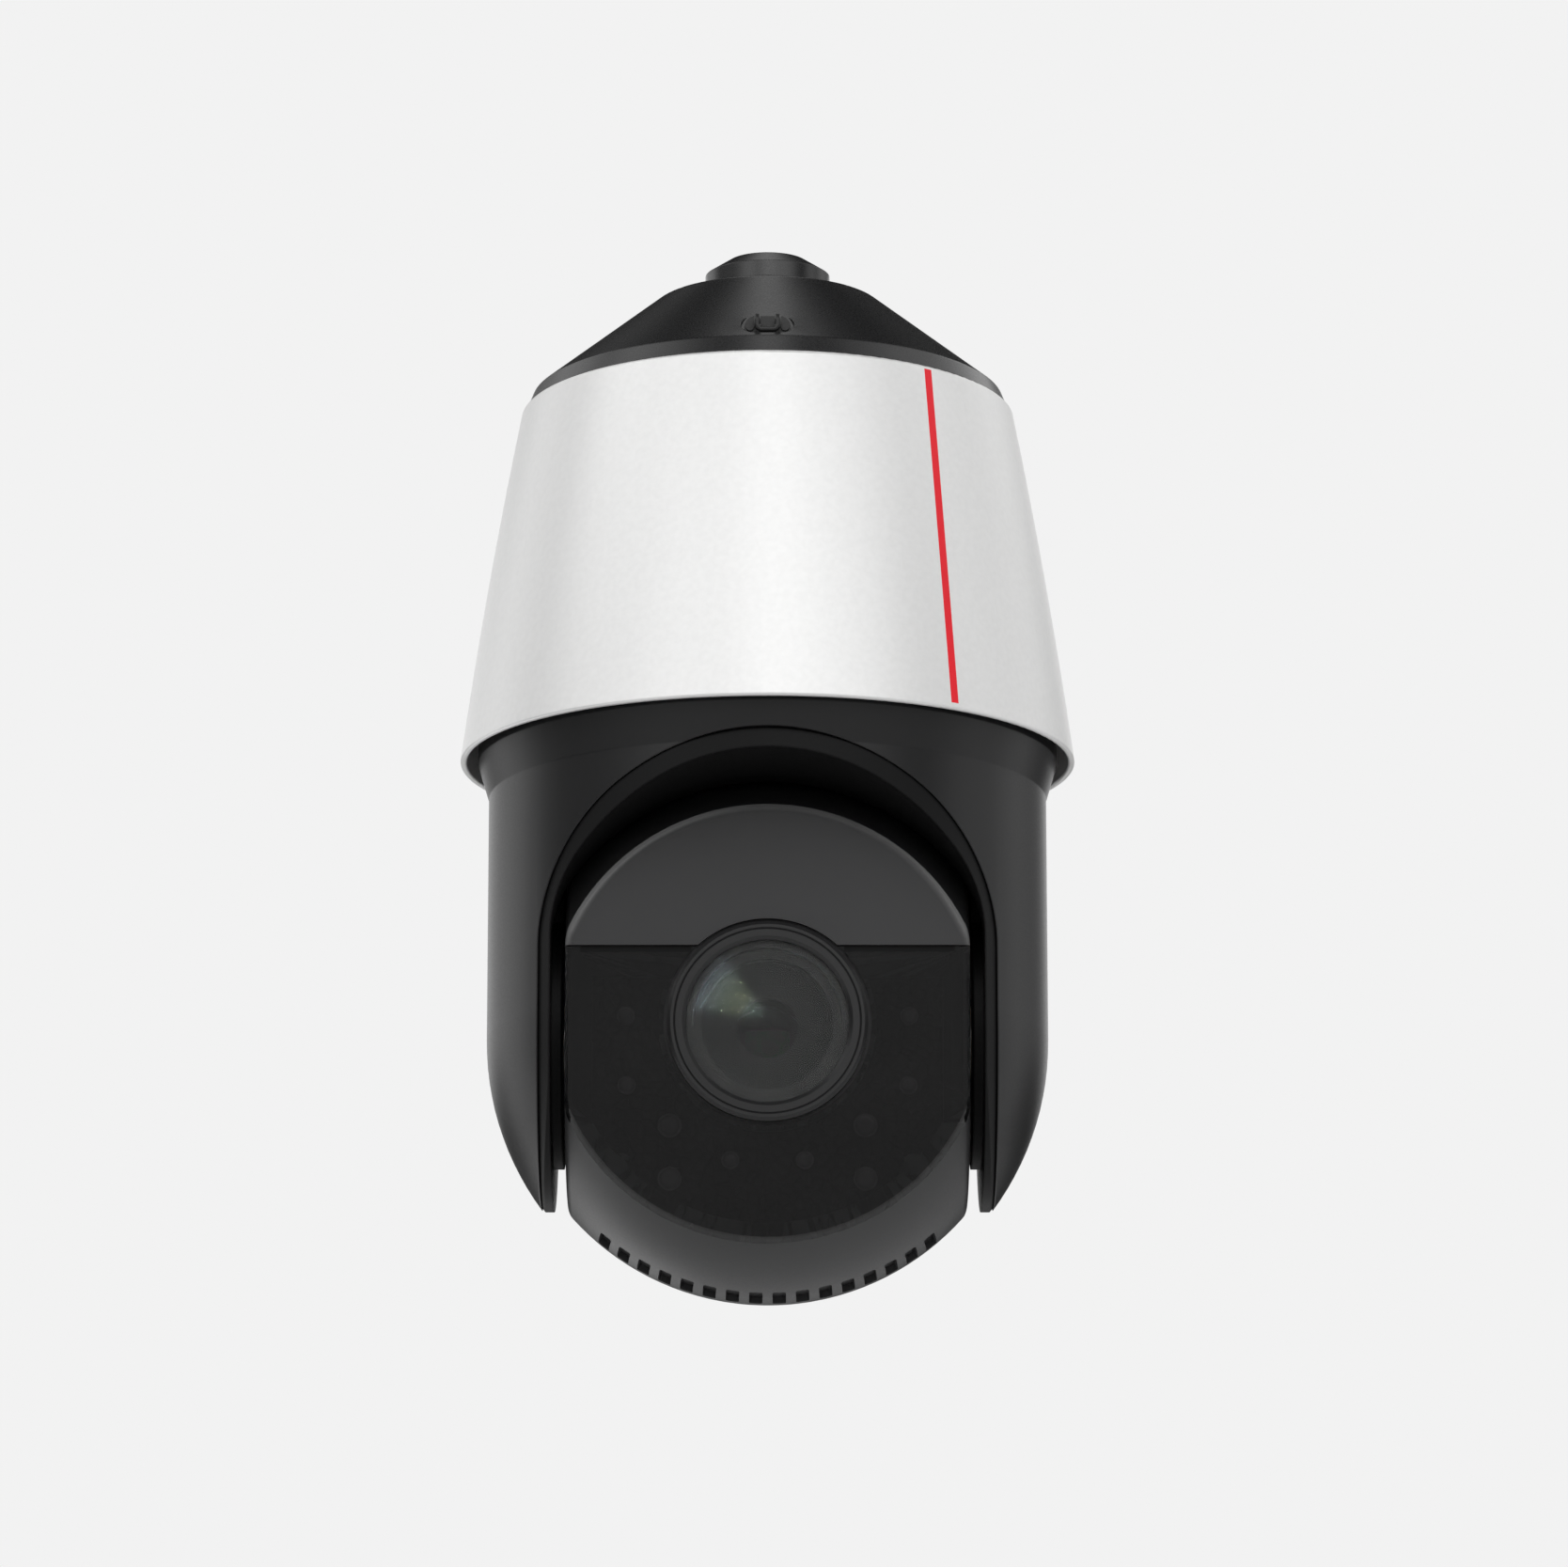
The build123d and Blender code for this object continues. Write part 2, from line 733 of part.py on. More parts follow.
# Motor bracket over the pan gear, with the motor and the fixed half of the slip ring
bracket_post_circle = pan_pitch_r + gear_module + bracket_post_gap + bracket_post_r
bracket_angles = (
    90 - bracket_front_swing,
    90 + bracket_front_swing,
    270 - bracket_rear_swing,
    270 + bracket_rear_swing,
)
bracket_places = [
    (bracket_post_circle * cos(radians(angle)), bracket_post_circle * sin(radians(angle)))
    for angle in bracket_angles
]
with BuildPart() as pan_motor_bracket:
    with BuildSketch(Plane.XY.offset(bracket_base_z)) as bracket_sketch:
        with Locations(*bracket_places):
            Circle(bracket_post_r + bracket_margin)
        with Locations((0, pan_centre)):
            Circle(motor_r)
        make_hull()
        Circle(slip_ring_r + seat_gap, mode=Mode.SUBTRACT)
        with Locations((0, pan_centre)):
            Circle(motor_pilot_r, mode=Mode.SUBTRACT)
    extrude(amount=bracket_t)
    with BuildSketch(Plane.XY.offset(floor_top_z)):
        with Locations(*bracket_places):
            Circle(bracket_post_r)
    extrude(amount=bracket_base_z - floor_top_z)
finish(pan_motor_bracket, "pan_motor_bracket")

with BuildPart() as pan_motor:
    with BuildSketch(Plane.XY.offset(bracket_top_z)):
        with Locations((0, pan_centre)):
            Circle(motor_r)
    extrude(amount=motor_h)
    fillet(pan_motor.edges().group_by(Axis.Z)[-1], motor_shaft_r)
    with BuildSketch(Plane.XY.offset(bracket_top_z)):
        with Locations((0, pan_centre)):
            Circle(motor_shaft_r + run_gap)
    extrude(amount=motor_shaft_depth + move_gap, mode=Mode.SUBTRACT)
finish(pan_motor, "pan_motor")

slip_base_z = bracket_top_z - slip_ring_drop
with BuildPart() as slip_ring_stator:
    with BuildSketch(Plane.XY.offset(slip_base_z)):
        Circle(slip_ring_r)
    extrude(amount=slip_ring_drop)
    with BuildSketch(Plane.XY.offset(bracket_top_z)):
        Circle(slip_ring_flange_r)
    extrude(amount=slip_ring_flange_h)
    with BuildSketch(Plane.XY.offset(bracket_top_z + slip_ring_flange_h)):
        Circle(slip_ring_r)
    extrude(amount=slip_ring_flange_h)
finish(slip_ring_stator, "slip_ring_stator")

# Pan pinion
pan_gear_plane = Plane(origin=(0, 0, pan_gear_base_z), x_dir=(0, 1, 0), z_dir=(0, 0, 1))
pan_pinion_plane = Plane(origin=(0, pan_centre, pan_gear_base_z), x_dir=(0, 1, 0), z_dir=(0, 0, 1))
with BuildPart() as pan_pinion:
    extrude(gear_face(pinion_teeth, pan_pinion_plane), amount=pan_gear_h)
    with BuildSketch(pan_pinion_plane):
        Circle(motor_shaft_r)
    extrude(amount=bracket_top_z - pan_gear_base_z + motor_shaft_depth)
finish(pan_pinion, "pan_pinion")

# Pan shaft with what it carries
flange_base = neck_top_z - pan_flange_h
with BuildPart() as pan_shaft:
    revolve(
        outline(
            [
                (pan_shaft_bore_r, flange_base),
                (pan_flange_r, flange_base),
                (pan_flange_r, neck_top_z),
                (pan_shaft_r, neck_top_z),
                (pan_shaft_r, pan_shaft_top_z),
                (pan_shaft_bore_r, pan_shaft_top_z),
            ]
        ),
        axis=Axis.Z,
    )
    with BuildSketch(Plane.XY.offset(flange_base)):
        with PolarLocations(pan_flange_screw_circle, pan_flange_screws):
            Circle(screw_r + seat_gap)
    extrude(amount=pan_flange_h, mode=Mode.SUBTRACT)
finish(pan_shaft, "pan_shaft")

with BuildPart() as shaft_screws:
    with BuildSketch(Plane.XY.offset(neck_top_z)):
        with PolarLocations(pan_flange_screw_circle, pan_flange_screws):
            Circle(screw_head_r)
    extrude(amount=screw_head_h)
    with BuildSketch(Plane.XY.offset(neck_top_z)):
        with PolarLocations(pan_flange_screw_circle, pan_flange_screws):
            Circle(screw_r)
    extrude(amount=-pan_flange_h - pan_flange_screw_depth + seat_gap)
finish(shaft_screws, "shaft_screws")

with BuildPart() as pan_bearing_inner:
    revolve(band(pan_shaft_r + seat_gap, bearing_in_r, bearing_base_z, bearing_top_z), axis=Axis.Z)
finish(pan_bearing_inner, "pan_bearing_inner")

with BuildPart() as pan_gear:
    extrude(gear_face(pan_teeth, pan_gear_plane), amount=pan_gear_h)
    with BuildSketch(Plane.XY.offset(bearing_top_z)):
        Circle(bearing_in_r)
    extrude(amount=pan_gear_lift)
    with BuildSketch(Plane.XY.offset(bearing_top_z)):
        Circle(pan_shaft_r + seat_gap)
    extrude(amount=pan_gear_lift + pan_gear_h, mode=Mode.SUBTRACT)
finish(pan_gear, "pan_gear")

with BuildPart() as pan_nut:
    with BuildSketch(Plane.XY.offset(pan_gear_top_z)):
        Circle(pan_shaft_r + pan_nut_wall)
        Circle(pan_shaft_r + seat_gap, mode=Mode.SUBTRACT)
        with PolarLocations(pan_shaft_r + pan_nut_wall, 4):
            Circle(pan_nut_wall / 2, mode=Mode.SUBTRACT)
    extrude(amount=pan_nut_h)
finish(pan_nut, "pan_nut")

slip_rotor_top_z = slip_base_z - move_gap
with BuildPart() as slip_ring_rotor:
    with BuildSketch(Plane.XY.offset(slip_rotor_top_z)):
        Circle(slip_rotor_r)
    extrude(amount=-slip_rotor_h)
    with BuildSketch(Plane.XY.offset(slip_rotor_top_z - slip_rotor_h)):
        Circle(pan_shaft_bore_r - seat_gap)
    extrude(amount=-slip_disc_h)
finish(slip_ring_rotor, "slip_ring_rotor")

# Yoke: a neck and two hollow arms in one moulding, open between the arms
arm_r = ball_r + arm_margin
ball_flat_x = ball_r - ball_flat_drop
tray_in_x = ball_flat_x + flat_gap
lip_in_x = ball_flat_x + lip_gap
opening_x = lip_in_x + lip_t
opening_r = arm_r - arch_drop
pocket_x = tray_in_x + tray_floor
liner_r = opening_r - liner_arch_t


def arch_face(half_width, radius, corner_r):
    """Opening between the arms: straight sides that bend into a round arch about the tilt axis."""
    corner_x = half_width - corner_r
    spring = sqrt((radius - corner_r) ** 2 - corner_x**2)
    meet_x = corner_x * radius / (radius - corner_r)
    meet_y = spring * radius / (radius - corner_r)
    with BuildSketch(tilt_section) as sketch:
        with BuildLine():
            Line((-half_width, -beyond), (-half_width, spring))
            TangentArc((-half_width, spring), (-meet_x, meet_y), tangent=(0, 1))
            ThreePointArc((-meet_x, meet_y), (0, radius), (meet_x, meet_y))
            TangentArc((half_width, spring), (meet_x, meet_y), tangent=(0, 1))
            Line((half_width, spring), (half_width, -beyond))
            Line((half_width, -beyond), (-half_width, -beyond))
        make_face()
    return sketch.sketch


def capsule_face(radius, top):
    """Half section of a round post with a ball end about the tilt centre."""
    with BuildSketch(Plane.XZ) as sketch:
        with BuildLine():
            Line((0, top), (radius, top))
            Line((radius, top), (radius, tilt_z))
            RadiusArc((radius, tilt_z), (0, tilt_z - radius), radius)
            Line((0, tilt_z - radius), (0, top))
        make_face()
    return sketch.sketch


def tray_face(radius, head_half_width, head_top, x):
    """Keyhole outline of a gear tray: round about the tilt axis, with a head beside the motor."""
    with BuildSketch(Plane(origin=(x, 0, tilt_z), x_dir=(0, 1, 0), z_dir=(1, 0, 0))) as sketch:
        Circle(radius)
        with Locations((0, head_top / 2)):
            Rectangle(2 * head_half_width, head_top)
    return sketch.sketch


def outline_edges(piece, radius):
    """Edges where an arch leaves the outside of the arms, a round post with a ball end."""
    found = ShapeList()
    for edge in piece.edges():
        place = edge.position_at(0.5)
        drop = place.Z - tilt_z
        reach = sqrt(place.X**2 + place.Y**2 + min(0, drop) ** 2)
        if abs(reach - radius) < run_gap and abs(drop) > run_gap:
            found.append(edge)
    return found


def side_plane(x, y=0.0, rise=0.0, outward=1):
    """Plane square to the tilt axis, with its x direction up."""
    return Plane(origin=(x, y, tilt_z + rise), x_dir=(0, 0, 1), z_dir=(outward, 0, 0))


liner_screw_places = [
    (liner_screw_circle * cos(radians(angle)), liner_screw_circle * sin(radians(angle)))
    for angle in liner_screw_angles
]

with BuildPart() as arm_hollow:
    revolve(capsule_face(arm_r - arm_wall, crease_z - arm_roof), axis=Axis.Z)
    with BuildSketch(Plane.XZ):
        with Locations((0, tilt_z)):
            Rectangle(2 * opening_x, 2 * beyond)
    extrude(amount=beyond, both=True, mode=Mode.SUBTRACT)
    for side in (-1, 1):
        for y, rise in liner_screw_places:
            with BuildSketch(side_plane(side * opening_x, y, rise, side)):
                Circle(liner_boss_r)
            extrude(amount=arm_r - opening_x, mode=Mode.SUBTRACT)

with BuildPart() as yoke:
    revolve(capsule_face(arm_r, crease_z), axis=Axis.Z)
    revolve(
        outline(
            [(0, crease_z), (arm_r, crease_z), (neck_rim_r, rim_z), (neck_rim_r, neck_top_z), (0, neck_top_z)]
        ),
        axis=Axis.Z,
    )
    extrude(arch_face(opening_x, opening_r, arch_corner_r), amount=beyond, both=True, mode=Mode.SUBTRACT)
    with Locations((0, 0, tilt_z)):
        Sphere(cavity_r, mode=Mode.SUBTRACT)
    add(arm_hollow.part, mode=Mode.SUBTRACT)
    for side in (-1, 1):
        extrude(
            tray_face(tray_r + seat_gap, tray_head_y + seat_gap, tray_rise + seat_gap, side * tray_in_x),
            amount=side * (opening_x - tray_in_x),
            mode=Mode.SUBTRACT,
        )
    with BuildSketch(Plane.XY.offset(neck_top_z)):
        Circle(pan_flange_r + seat_gap)
    extrude(amount=-pan_flange_h, mode=Mode.SUBTRACT)
    with BuildSketch(Plane.XY.offset(neck_top_z)):
        Circle(neck_rim_r - neck_pocket_wall)
        Circle(pan_flange_r + neck_hub_wall, mode=Mode.SUBTRACT)
    extrude(amount=-neck_web, mode=Mode.SUBTRACT)
    with BuildSketch(Plane.XY.offset(flange_base)):
        with PolarLocations(pan_flange_screw_circle, pan_flange_screws):
            Circle(screw_r + seat_gap)
    extrude(amount=-pan_flange_screw_depth, mode=Mode.SUBTRACT)
    for side in (-1, 1):
        for y, rise in liner_screw_places:
            with BuildSketch(side_plane(side * lip_in_x, y, rise, side)):
                Circle(small_screw_r + seat_gap)
            extrude(amount=lip_t + liner_screw_depth, mode=Mode.SUBTRACT)
finish(yoke, "yoke")

# Liner of the opening: a lip along the arms and the arches, and a gear tray in each plate
bush_r = hub_shaft_r + run_gap + bush_wall
with BuildPart() as liner_space:
    with Locations((0, 0, tilt_z)):
        Sphere(cavity_r)
    split(bisect_by=Plane.YZ.offset(lip_in_x), keep=Keep.BOTTOM)
    split(bisect_by=Plane.YZ.offset(-lip_in_x), keep=Keep.TOP)

# The lip ends blunt at the foot of each arm
lip_side = sqrt((arm_r - liner_setback) ** 2 - lip_in_x**2)
with BuildSketch(Plane(origin=tilt_centre_point, x_dir=(0, 1, 0), z_dir=(1, 0, 0))) as lip_end:
    Ellipse(lip_side + seat_gap, lip_foot)
    with Locations((0, beyond)):
        Rectangle(2 * beyond, 2 * beyond)

with BuildPart() as yoke_liner:
    revolve(capsule_face(arm_r - liner_setback, tilt_z + arm_r), axis=Axis.Z)
    extrude(
        arch_face(opening_x - seat_gap, opening_r - seat_gap, arch_corner_r - seat_gap),
        amount=beyond,
        both=True,
        mode=Mode.INTERSECT,
    )
    fillet(outline_edges(yoke_liner, arm_r - liner_setback), lip_edge_r)
    extrude(lip_end.sketch, amount=beyond, both=True, mode=Mode.INTERSECT)
    extrude(arch_face(lip_in_x, liner_r, liner_corner_r), amount=beyond, both=True, mode=Mode.SUBTRACT)
    add(liner_space.part, mode=Mode.SUBTRACT)
    for side in (-1, 1):
        extrude(
            tray_face(tray_r, tray_head_y, tray_rise, side * tray_in_x),
            amount=side * (opening_x - seat_gap - tray_in_x),
        )
        extrude(
            tray_face(tray_r - tray_wall, tray_head_y - tray_wall, tray_rise - tray_wall, side * pocket_x),
            amount=side * (opening_x - tray_in_x),
            mode=Mode.SUBTRACT,
        )
        for y, rise in liner_screw_places:
            with BuildSketch(side_plane(side * lip_in_x, y, rise, side)):
                Circle(small_screw_r + seat_gap)
            extrude(amount=lip_t, mode=Mode.SUBTRACT)
            with BuildSketch(side_plane(side * lip_in_x, y, rise, side)):
                Circle(small_head_r + seat_gap)
            extrude(amount=small_head_h, mode=Mode.SUBTRACT)
        with BuildSketch(side_plane(side * tray_in_x, outward=side)):
            Circle(bush_r + seat_gap)
        extrude(amount=tray_floor, mode=Mode.SUBTRACT)
finish(yoke_liner, "yoke_liner")

with BuildPart() as liner_screws:
    for side in (-1, 1):
        for y, rise in liner_screw_places:
            with BuildSketch(side_plane(side * lip_in_x, y, rise, side)):
                Circle(small_head_r)
            extrude(amount=small_head_h)
            with BuildSketch(side_plane(side * lip_in_x, y, rise, side)):
                Circle(small_screw_r)
            extrude(amount=lip_t + liner_screw_depth - 2 * seat_gap)
finish(liner_screws, "liner_screws")

# Tilt bushes in the plates
for side, name in ((-1, "tilt_bush_left"), (1, "tilt_bush_right")):
    with BuildPart() as tilt_bush:
        with BuildSketch(side_plane(side * tray_in_x, outward=side)):
            Circle(bush_r)
            Circle(hub_shaft_r + run_gap, mode=Mode.SUBTRACT)
        extrude(amount=tray_floor)
    finish(tilt_bush, name)

# Tilt motor on a legged bracket in the left arm
gear_near_x = pocket_x + move_gap
gear_far_x = gear_near_x + tilt_gear_h
tilt_bracket_x = gear_far_x + tilt_bracket_gap
tilt_motor_x = tilt_bracket_x + tilt_bracket_t
leg_reach = tilt_pitch_r + gear_module + tilt_leg_gap + tilt_leg_r
leg_places = [
    (leg_reach * sin(radians(-tilt_leg_swing)), leg_reach * cos(radians(tilt_leg_swing))),
    (leg_reach * sin(radians(tilt_leg_swing)), leg_reach * cos(radians(tilt_leg_swing))),
    (-tilt_leg_top_x, tilt_centre + tilt_leg_top_rise),
    (tilt_leg_top_x, tilt_centre + tilt_leg_top_rise),
]
with BuildPart() as tilt_motor_bracket:
    with BuildSketch(side_plane(-tilt_bracket_x, outward=-1)):
        with Locations(*[(rise, y) for y, rise in leg_places]):
            Circle(tilt_leg_r)
        with Locations((tilt_centre, 0)):
            Circle(tilt_motor_r)
        make_hull()
        with Locations((tilt_centre, 0)):
            Circle(tilt_pilot_r, mode=Mode.SUBTRACT)
    extrude(amount=tilt_bracket_t)
    with BuildSketch(side_plane(-pocket_x, outward=-1)):
        with Locations(*[(rise, y) for y, rise in leg_places]):
            Circle(tilt_leg_r)
    extrude(amount=tilt_bracket_x - pocket_x)
finish(tilt_motor_bracket, "tilt_motor_bracket")

with BuildPart() as tilt_motor:
    with BuildSketch(side_plane(-tilt_motor_x, rise=tilt_centre, outward=-1)):
        Circle(tilt_motor_r)
        Circle(tilt_shaft_r + run_gap, mode=Mode.SUBTRACT)
    extrude(amount=tilt_shaft_depth + move_gap)
    with BuildSketch(side_plane(-tilt_motor_x - tilt_shaft_depth - move_gap, rise=tilt_centre, outward=-1)):
        Circle(tilt_motor_r)
    extrude(amount=tilt_motor_h - tilt_shaft_depth - move_gap)
finish(tilt_motor, "tilt_motor")

with BuildPart() as tilt_pinion:
    extrude(
        gear_face(pinion_teeth, side_plane(-gear_near_x, rise=tilt_centre, outward=-1)), amount=tilt_gear_h
    )
    with BuildSketch(side_plane(-gear_near_x, rise=tilt_centre, outward=-1)):
        Circle(tilt_shaft_r)
    extrude(amount=tilt_motor_x - gear_near_x + tilt_shaft_depth)
finish(tilt_pinion, "tilt_pinion")

# Head
# The ball with its two flats, and the hollow inside it
face_distance = ball_r - face_drop
face_r = sqrt(ball_r**2 - face_distance**2)
shell_front = face_distance - face_t
face_wall_back = shell_front - face_wall_t
seam_front = seam_distance + seal_t / 2
seam_rear = seam_distance - seal_t / 2
inner_flat_x = ball_flat_x - head_wall
post_circle = ball_r - post_inset
lamp_opening_r = face_r - lamp_opening_rim
lamp_opening_x = inner_flat_x - lamp_opening_side
with BuildPart() as ball:
    with Locations(tilt_centre_point):
        Sphere(ball_r)
    split(bisect_by=Plane.YZ.offset(ball_flat_x), keep=Keep.BOTTOM)
    split(bisect_by=Plane.YZ.offset(-ball_flat_x), keep=Keep.TOP)
    fillet(ball.faces().filter_by(Axis.X).edges(), ball_edge_r)

with BuildPart() as ball_hollow:
    with Locations(tilt_centre_point):
        Sphere(ball_r - head_wall)
    split(bisect_by=Plane.YZ.offset(inner_flat_x), keep=Keep.BOTTOM)
    split(bisect_by=Plane.YZ.offset(-inner_flat_x), keep=Keep.TOP)
    split(bisect_by=lens_plane.offset(face_wall_back), keep=Keep.BOTTOM)

vent_middle = (vent_near + vent_far) / 2
vent_radius = sqrt(ball_r**2 - vent_middle**2)
vent_planes = []
for vent in range(vent_count):
    swing = radians((vent - (vent_count - 1) / 2) * vent_pitch)
    across = lens_plane.x_dir * cos(swing) + lens_plane.y_dir * sin(swing)
    down = lens_plane.x_dir * sin(swing) - lens_plane.y_dir * cos(swing)
    outward = (down * vent_radius + lens_plane.z_dir * vent_middle).normalized()
    vent_planes.append(
        Plane(origin=lens_plane.origin + outward * (ball_r + seal_t), x_dir=across, z_dir=outward)
    )


def lamp_opening(grow):
    """Opening in the face wall for the lamps, or the outline of what covers it."""
    with BuildSketch(lens_plane) as sketch:
        Circle(lamp_opening_r + grow)
        Rectangle(2 * (lamp_opening_x + grow), 2 * beyond, mode=Mode.INTERSECT)
        with Locations((0, lamp_opening_top + grow - beyond)):
            Rectangle(2 * beyond, 2 * beyond, mode=Mode.INTERSECT)
        Circle(barrel_hole_r + lamp_ring_wall, mode=Mode.SUBTRACT)
        with PolarLocations(post_circle, post_count, start_angle=45):
            Circle(post_r + seat_gap, mode=Mode.SUBTRACT)
    return sketch.sketch


with BuildPart() as head_front_shell:
    add(ball.part)
    split(bisect_by=lens_plane.offset(shell_front), keep=Keep.BOTTOM)
    split(bisect_by=lens_plane.offset(seam_front), keep=Keep.TOP)
    add(ball_hollow.part, mode=Mode.SUBTRACT)
    with BuildSketch(lens_plane.offset(seam_front)):
        with PolarLocations(post_circle, post_count, start_angle=45):
            Circle(post_r)
    extrude(amount=face_wall_back - seam_front)
    with BuildSketch(lens_plane.offset(seam_front)):
        with PolarLocations(post_circle, post_count, start_angle=45):
            Circle(screw_r + seat_gap)
    extrude(amount=post_screw_depth, mode=Mode.SUBTRACT)
    with BuildSketch(lens_plane.offset(shell_front)):
        Circle(barrel_hole_r)
    extrude(amount=-face_wall_t, mode=Mode.SUBTRACT)
    extrude(lamp_opening(0), amount=shell_front, mode=Mode.SUBTRACT)
    for side in (-1, 1):
        with BuildSketch(side_plane(side * ball_flat_x, outward=side)):
            Circle(hub_shaft_r + seat_gap)
        extrude(amount=-head_wall, mode=Mode.SUBTRACT)
        with BuildSketch(side_plane(side * inner_flat_x, outward=side)):
            with PolarLocations(hub_screw_circle, hub_screw_count):
                Circle(small_screw_r + seat_gap)
        extrude(amount=hub_screw_depth, mode=Mode.SUBTRACT)
    with BuildSketch(*vent_planes):
        RectangleRounded(vent_width, vent_far - vent_near, vent_corner_r)
    extrude(amount=-vent_depth - seal_t, mode=Mode.SUBTRACT)
finish(head_front_shell, "head_front_shell")

with BuildPart() as head_rear_shell:
    add(ball.part)
    split(bisect_by=lens_plane.offset(seam_rear), keep=Keep.BOTTOM)
    add(ball_hollow.part, mode=Mode.SUBTRACT)
    with BuildSketch(lens_plane.offset(seam_rear)):
        with PolarLocations(post_circle, post_count, start_angle=45):
            Circle(post_r)
    extrude(until=Until.NEXT, dir=-lens_plane.z_dir)
    with BuildSketch(lens_plane.offset(seam_rear)):
        with PolarLocations(post_circle, post_count, start_angle=45):
            Circle(screw_r + seat_gap)
    extrude(amount=-ball_r, mode=Mode.SUBTRACT)
    with BuildSketch(lens_plane.offset(seam_rear - rear_screw_seat)):
        with PolarLocations(post_circle, post_count, start_angle=45):
            Circle(screw_head_r + seat_gap)
    extrude(amount=-ball_r, mode=Mode.SUBTRACT)
finish(head_rear_shell, "head_rear_shell")

with BuildPart() as head_screws:
    with BuildSketch(lens_plane.offset(seam_rear - rear_screw_seat)):
        with PolarLocations(post_circle, post_count, start_angle=45):
            Circle(screw_head_r)
    extrude(amount=-screw_head_h)
    with BuildSketch(lens_plane.offset(seam_rear - rear_screw_seat)):
        with PolarLocations(post_circle, post_count, start_angle=45):
            Circle(screw_r)
    extrude(amount=rear_screw_seat + seal_t + post_screw_depth - seat_gap)
finish(head_screws, "head_screws")

# Seal between the two shells, which follows the section of the ball at the seam
seam_r = sqrt(ball_r**2 - seam_distance**2)
with BuildPart() as head_seal:
    with BuildSketch(lens_plane.offset(seam_rear)) as seal_sketch:
        Circle(seam_r - seal_inset)
        Rectangle(2 * (ball_flat_x - seal_inset), 2 * beyond, mode=Mode.INTERSECT)
        fillet(seal_sketch.vertices(), ball_edge_r)
        offset(amount=-seal_width, mode=Mode.SUBTRACT)
    extrude(amount=seal_t)
finish(head_seal, "head_seal")

# Face: the plate above the groove and the lamp window below it, sliced from the ball with its face cut
with BuildPart() as faced_ball:
    add(ball.part)
    split(bisect_by=lens_plane.offset(face_distance), keep=Keep.BOTTOM)
    fillet(faced_ball.faces().sort_by(lens_axis)[-1].edges(), face_edge_r)
    split(bisect_by=lens_plane.offset(shell_front), keep=Keep.TOP)

with BuildPart() as face_plate:
    add(faced_ball.part)
    with BuildSketch(lens_plane.offset(shell_front)):
        with Locations((0, groove_height + groove_width / 2 - beyond)):
            Rectangle(2 * beyond, 2 * beyond)
        Circle(bezel_r + bezel_gap)
    extrude(amount=face_t, mode=Mode.SUBTRACT)
finish(face_plate, "face_plate")

with BuildPart() as ir_window:
    add(faced_ball.part)
    split(bisect_by=lens_plane.offset(face_distance - window_recess), keep=Keep.BOTTOM)
    with BuildSketch(lens_plane.offset(shell_front + groove_floor_t)):
        with Locations((0, groove_height - groove_width / 2 + beyond)):
            Rectangle(2 * beyond, 2 * beyond)
    extrude(amount=face_t, mode=Mode.SUBTRACT)
    with BuildSketch(lens_plane.offset(shell_front)):
        with Locations((0, groove_height + groove_width / 2 - seat_gap + beyond)):
            Rectangle(2 * beyond, 2 * beyond)
        Circle(bezel_r + bezel_gap)
    extrude(amount=face_t, mode=Mode.SUBTRACT)
finish(ir_window, "ir_window")

# Lamp board behind the face wall, with the lamps that look through the opening
with BuildPart() as ir_board:
    with BuildSketch(lens_plane.offset(face_wall_back)):
        add(lens_plane.to_local_coords(lamp_opening(lamp_board_margin)))
    extrude(amount=-board_t)
finish(ir_board, "ir_board")

lamp_kinds = [(swing, inset, 1.0) for swing, inset in lamp_large]
lamp_kinds += [(swing, inset, lamp_small_share) for swing, inset in lamp_small]
with BuildPart() as ir_lamps:
    for swing, inset, share in lamp_kinds:
        out = lamp_opening_r - inset
        lamp_pair = [
            (side * out * sin(radians(swing)), -out * cos(radians(swing))) for side in (-1, 1)
        ]
        with BuildSketch(lens_plane.offset(face_wall_back)):
            with Locations(*lamp_pair):
                Circle(lamp_body_r * share)
        extrude(amount=lamp_body_h)
        with BuildSketch(lens_plane.offset(face_wall_back + lamp_body_h)):
            with Locations(*lamp_pair):
                Circle(lamp_dome_r * share)
        extrude(amount=lamp_dome_h)
    domes = ir_lamps.faces().filter_by(GeomType.PLANE).group_by(lens_axis)[-1]
    fillet(domes.edges(), lamp_dome_edge)
finish(ir_lamps, "ir_lamps")

# Lens bezel with its protective glass
bezel_front = face_distance + bezel_proud
with BuildPart() as lens_bezel:
    revolve(
        outline(
            [
                (glass_r + seat_gap, shell_front),
                (bezel_r, shell_front),
                (bezel_r, bezel_front - bezel_edge),
                (bezel_r - bezel_edge, bezel_front),
                (bezel_ring_r + bezel_ring_depth, bezel_front),
                (bezel_ring_r, bezel_front - bezel_ring_depth),
                (bezel_ring_r - bezel_ring_depth, bezel_front),
                (bezel_lip_r + bezel_edge, bezel_front),
                (bezel_lip_r, bezel_front - bezel_lip_t / 2),
                (bezel_lip_r, bezel_front - bezel_lip_t),
                (glass_r + seat_gap, bezel_front - bezel_lip_t),
            ],
            lens_section,
        ),
        axis=lens_axis,
    )
finish(lens_bezel, "lens_bezel")

glass_front = bezel_front - bezel_lip_t
with BuildPart() as lens_glass:
    revolve(band(0, glass_r, glass_front - glass_t, glass_front, lens_section), axis=lens_axis)
finish(lens_glass, "lens_glass")

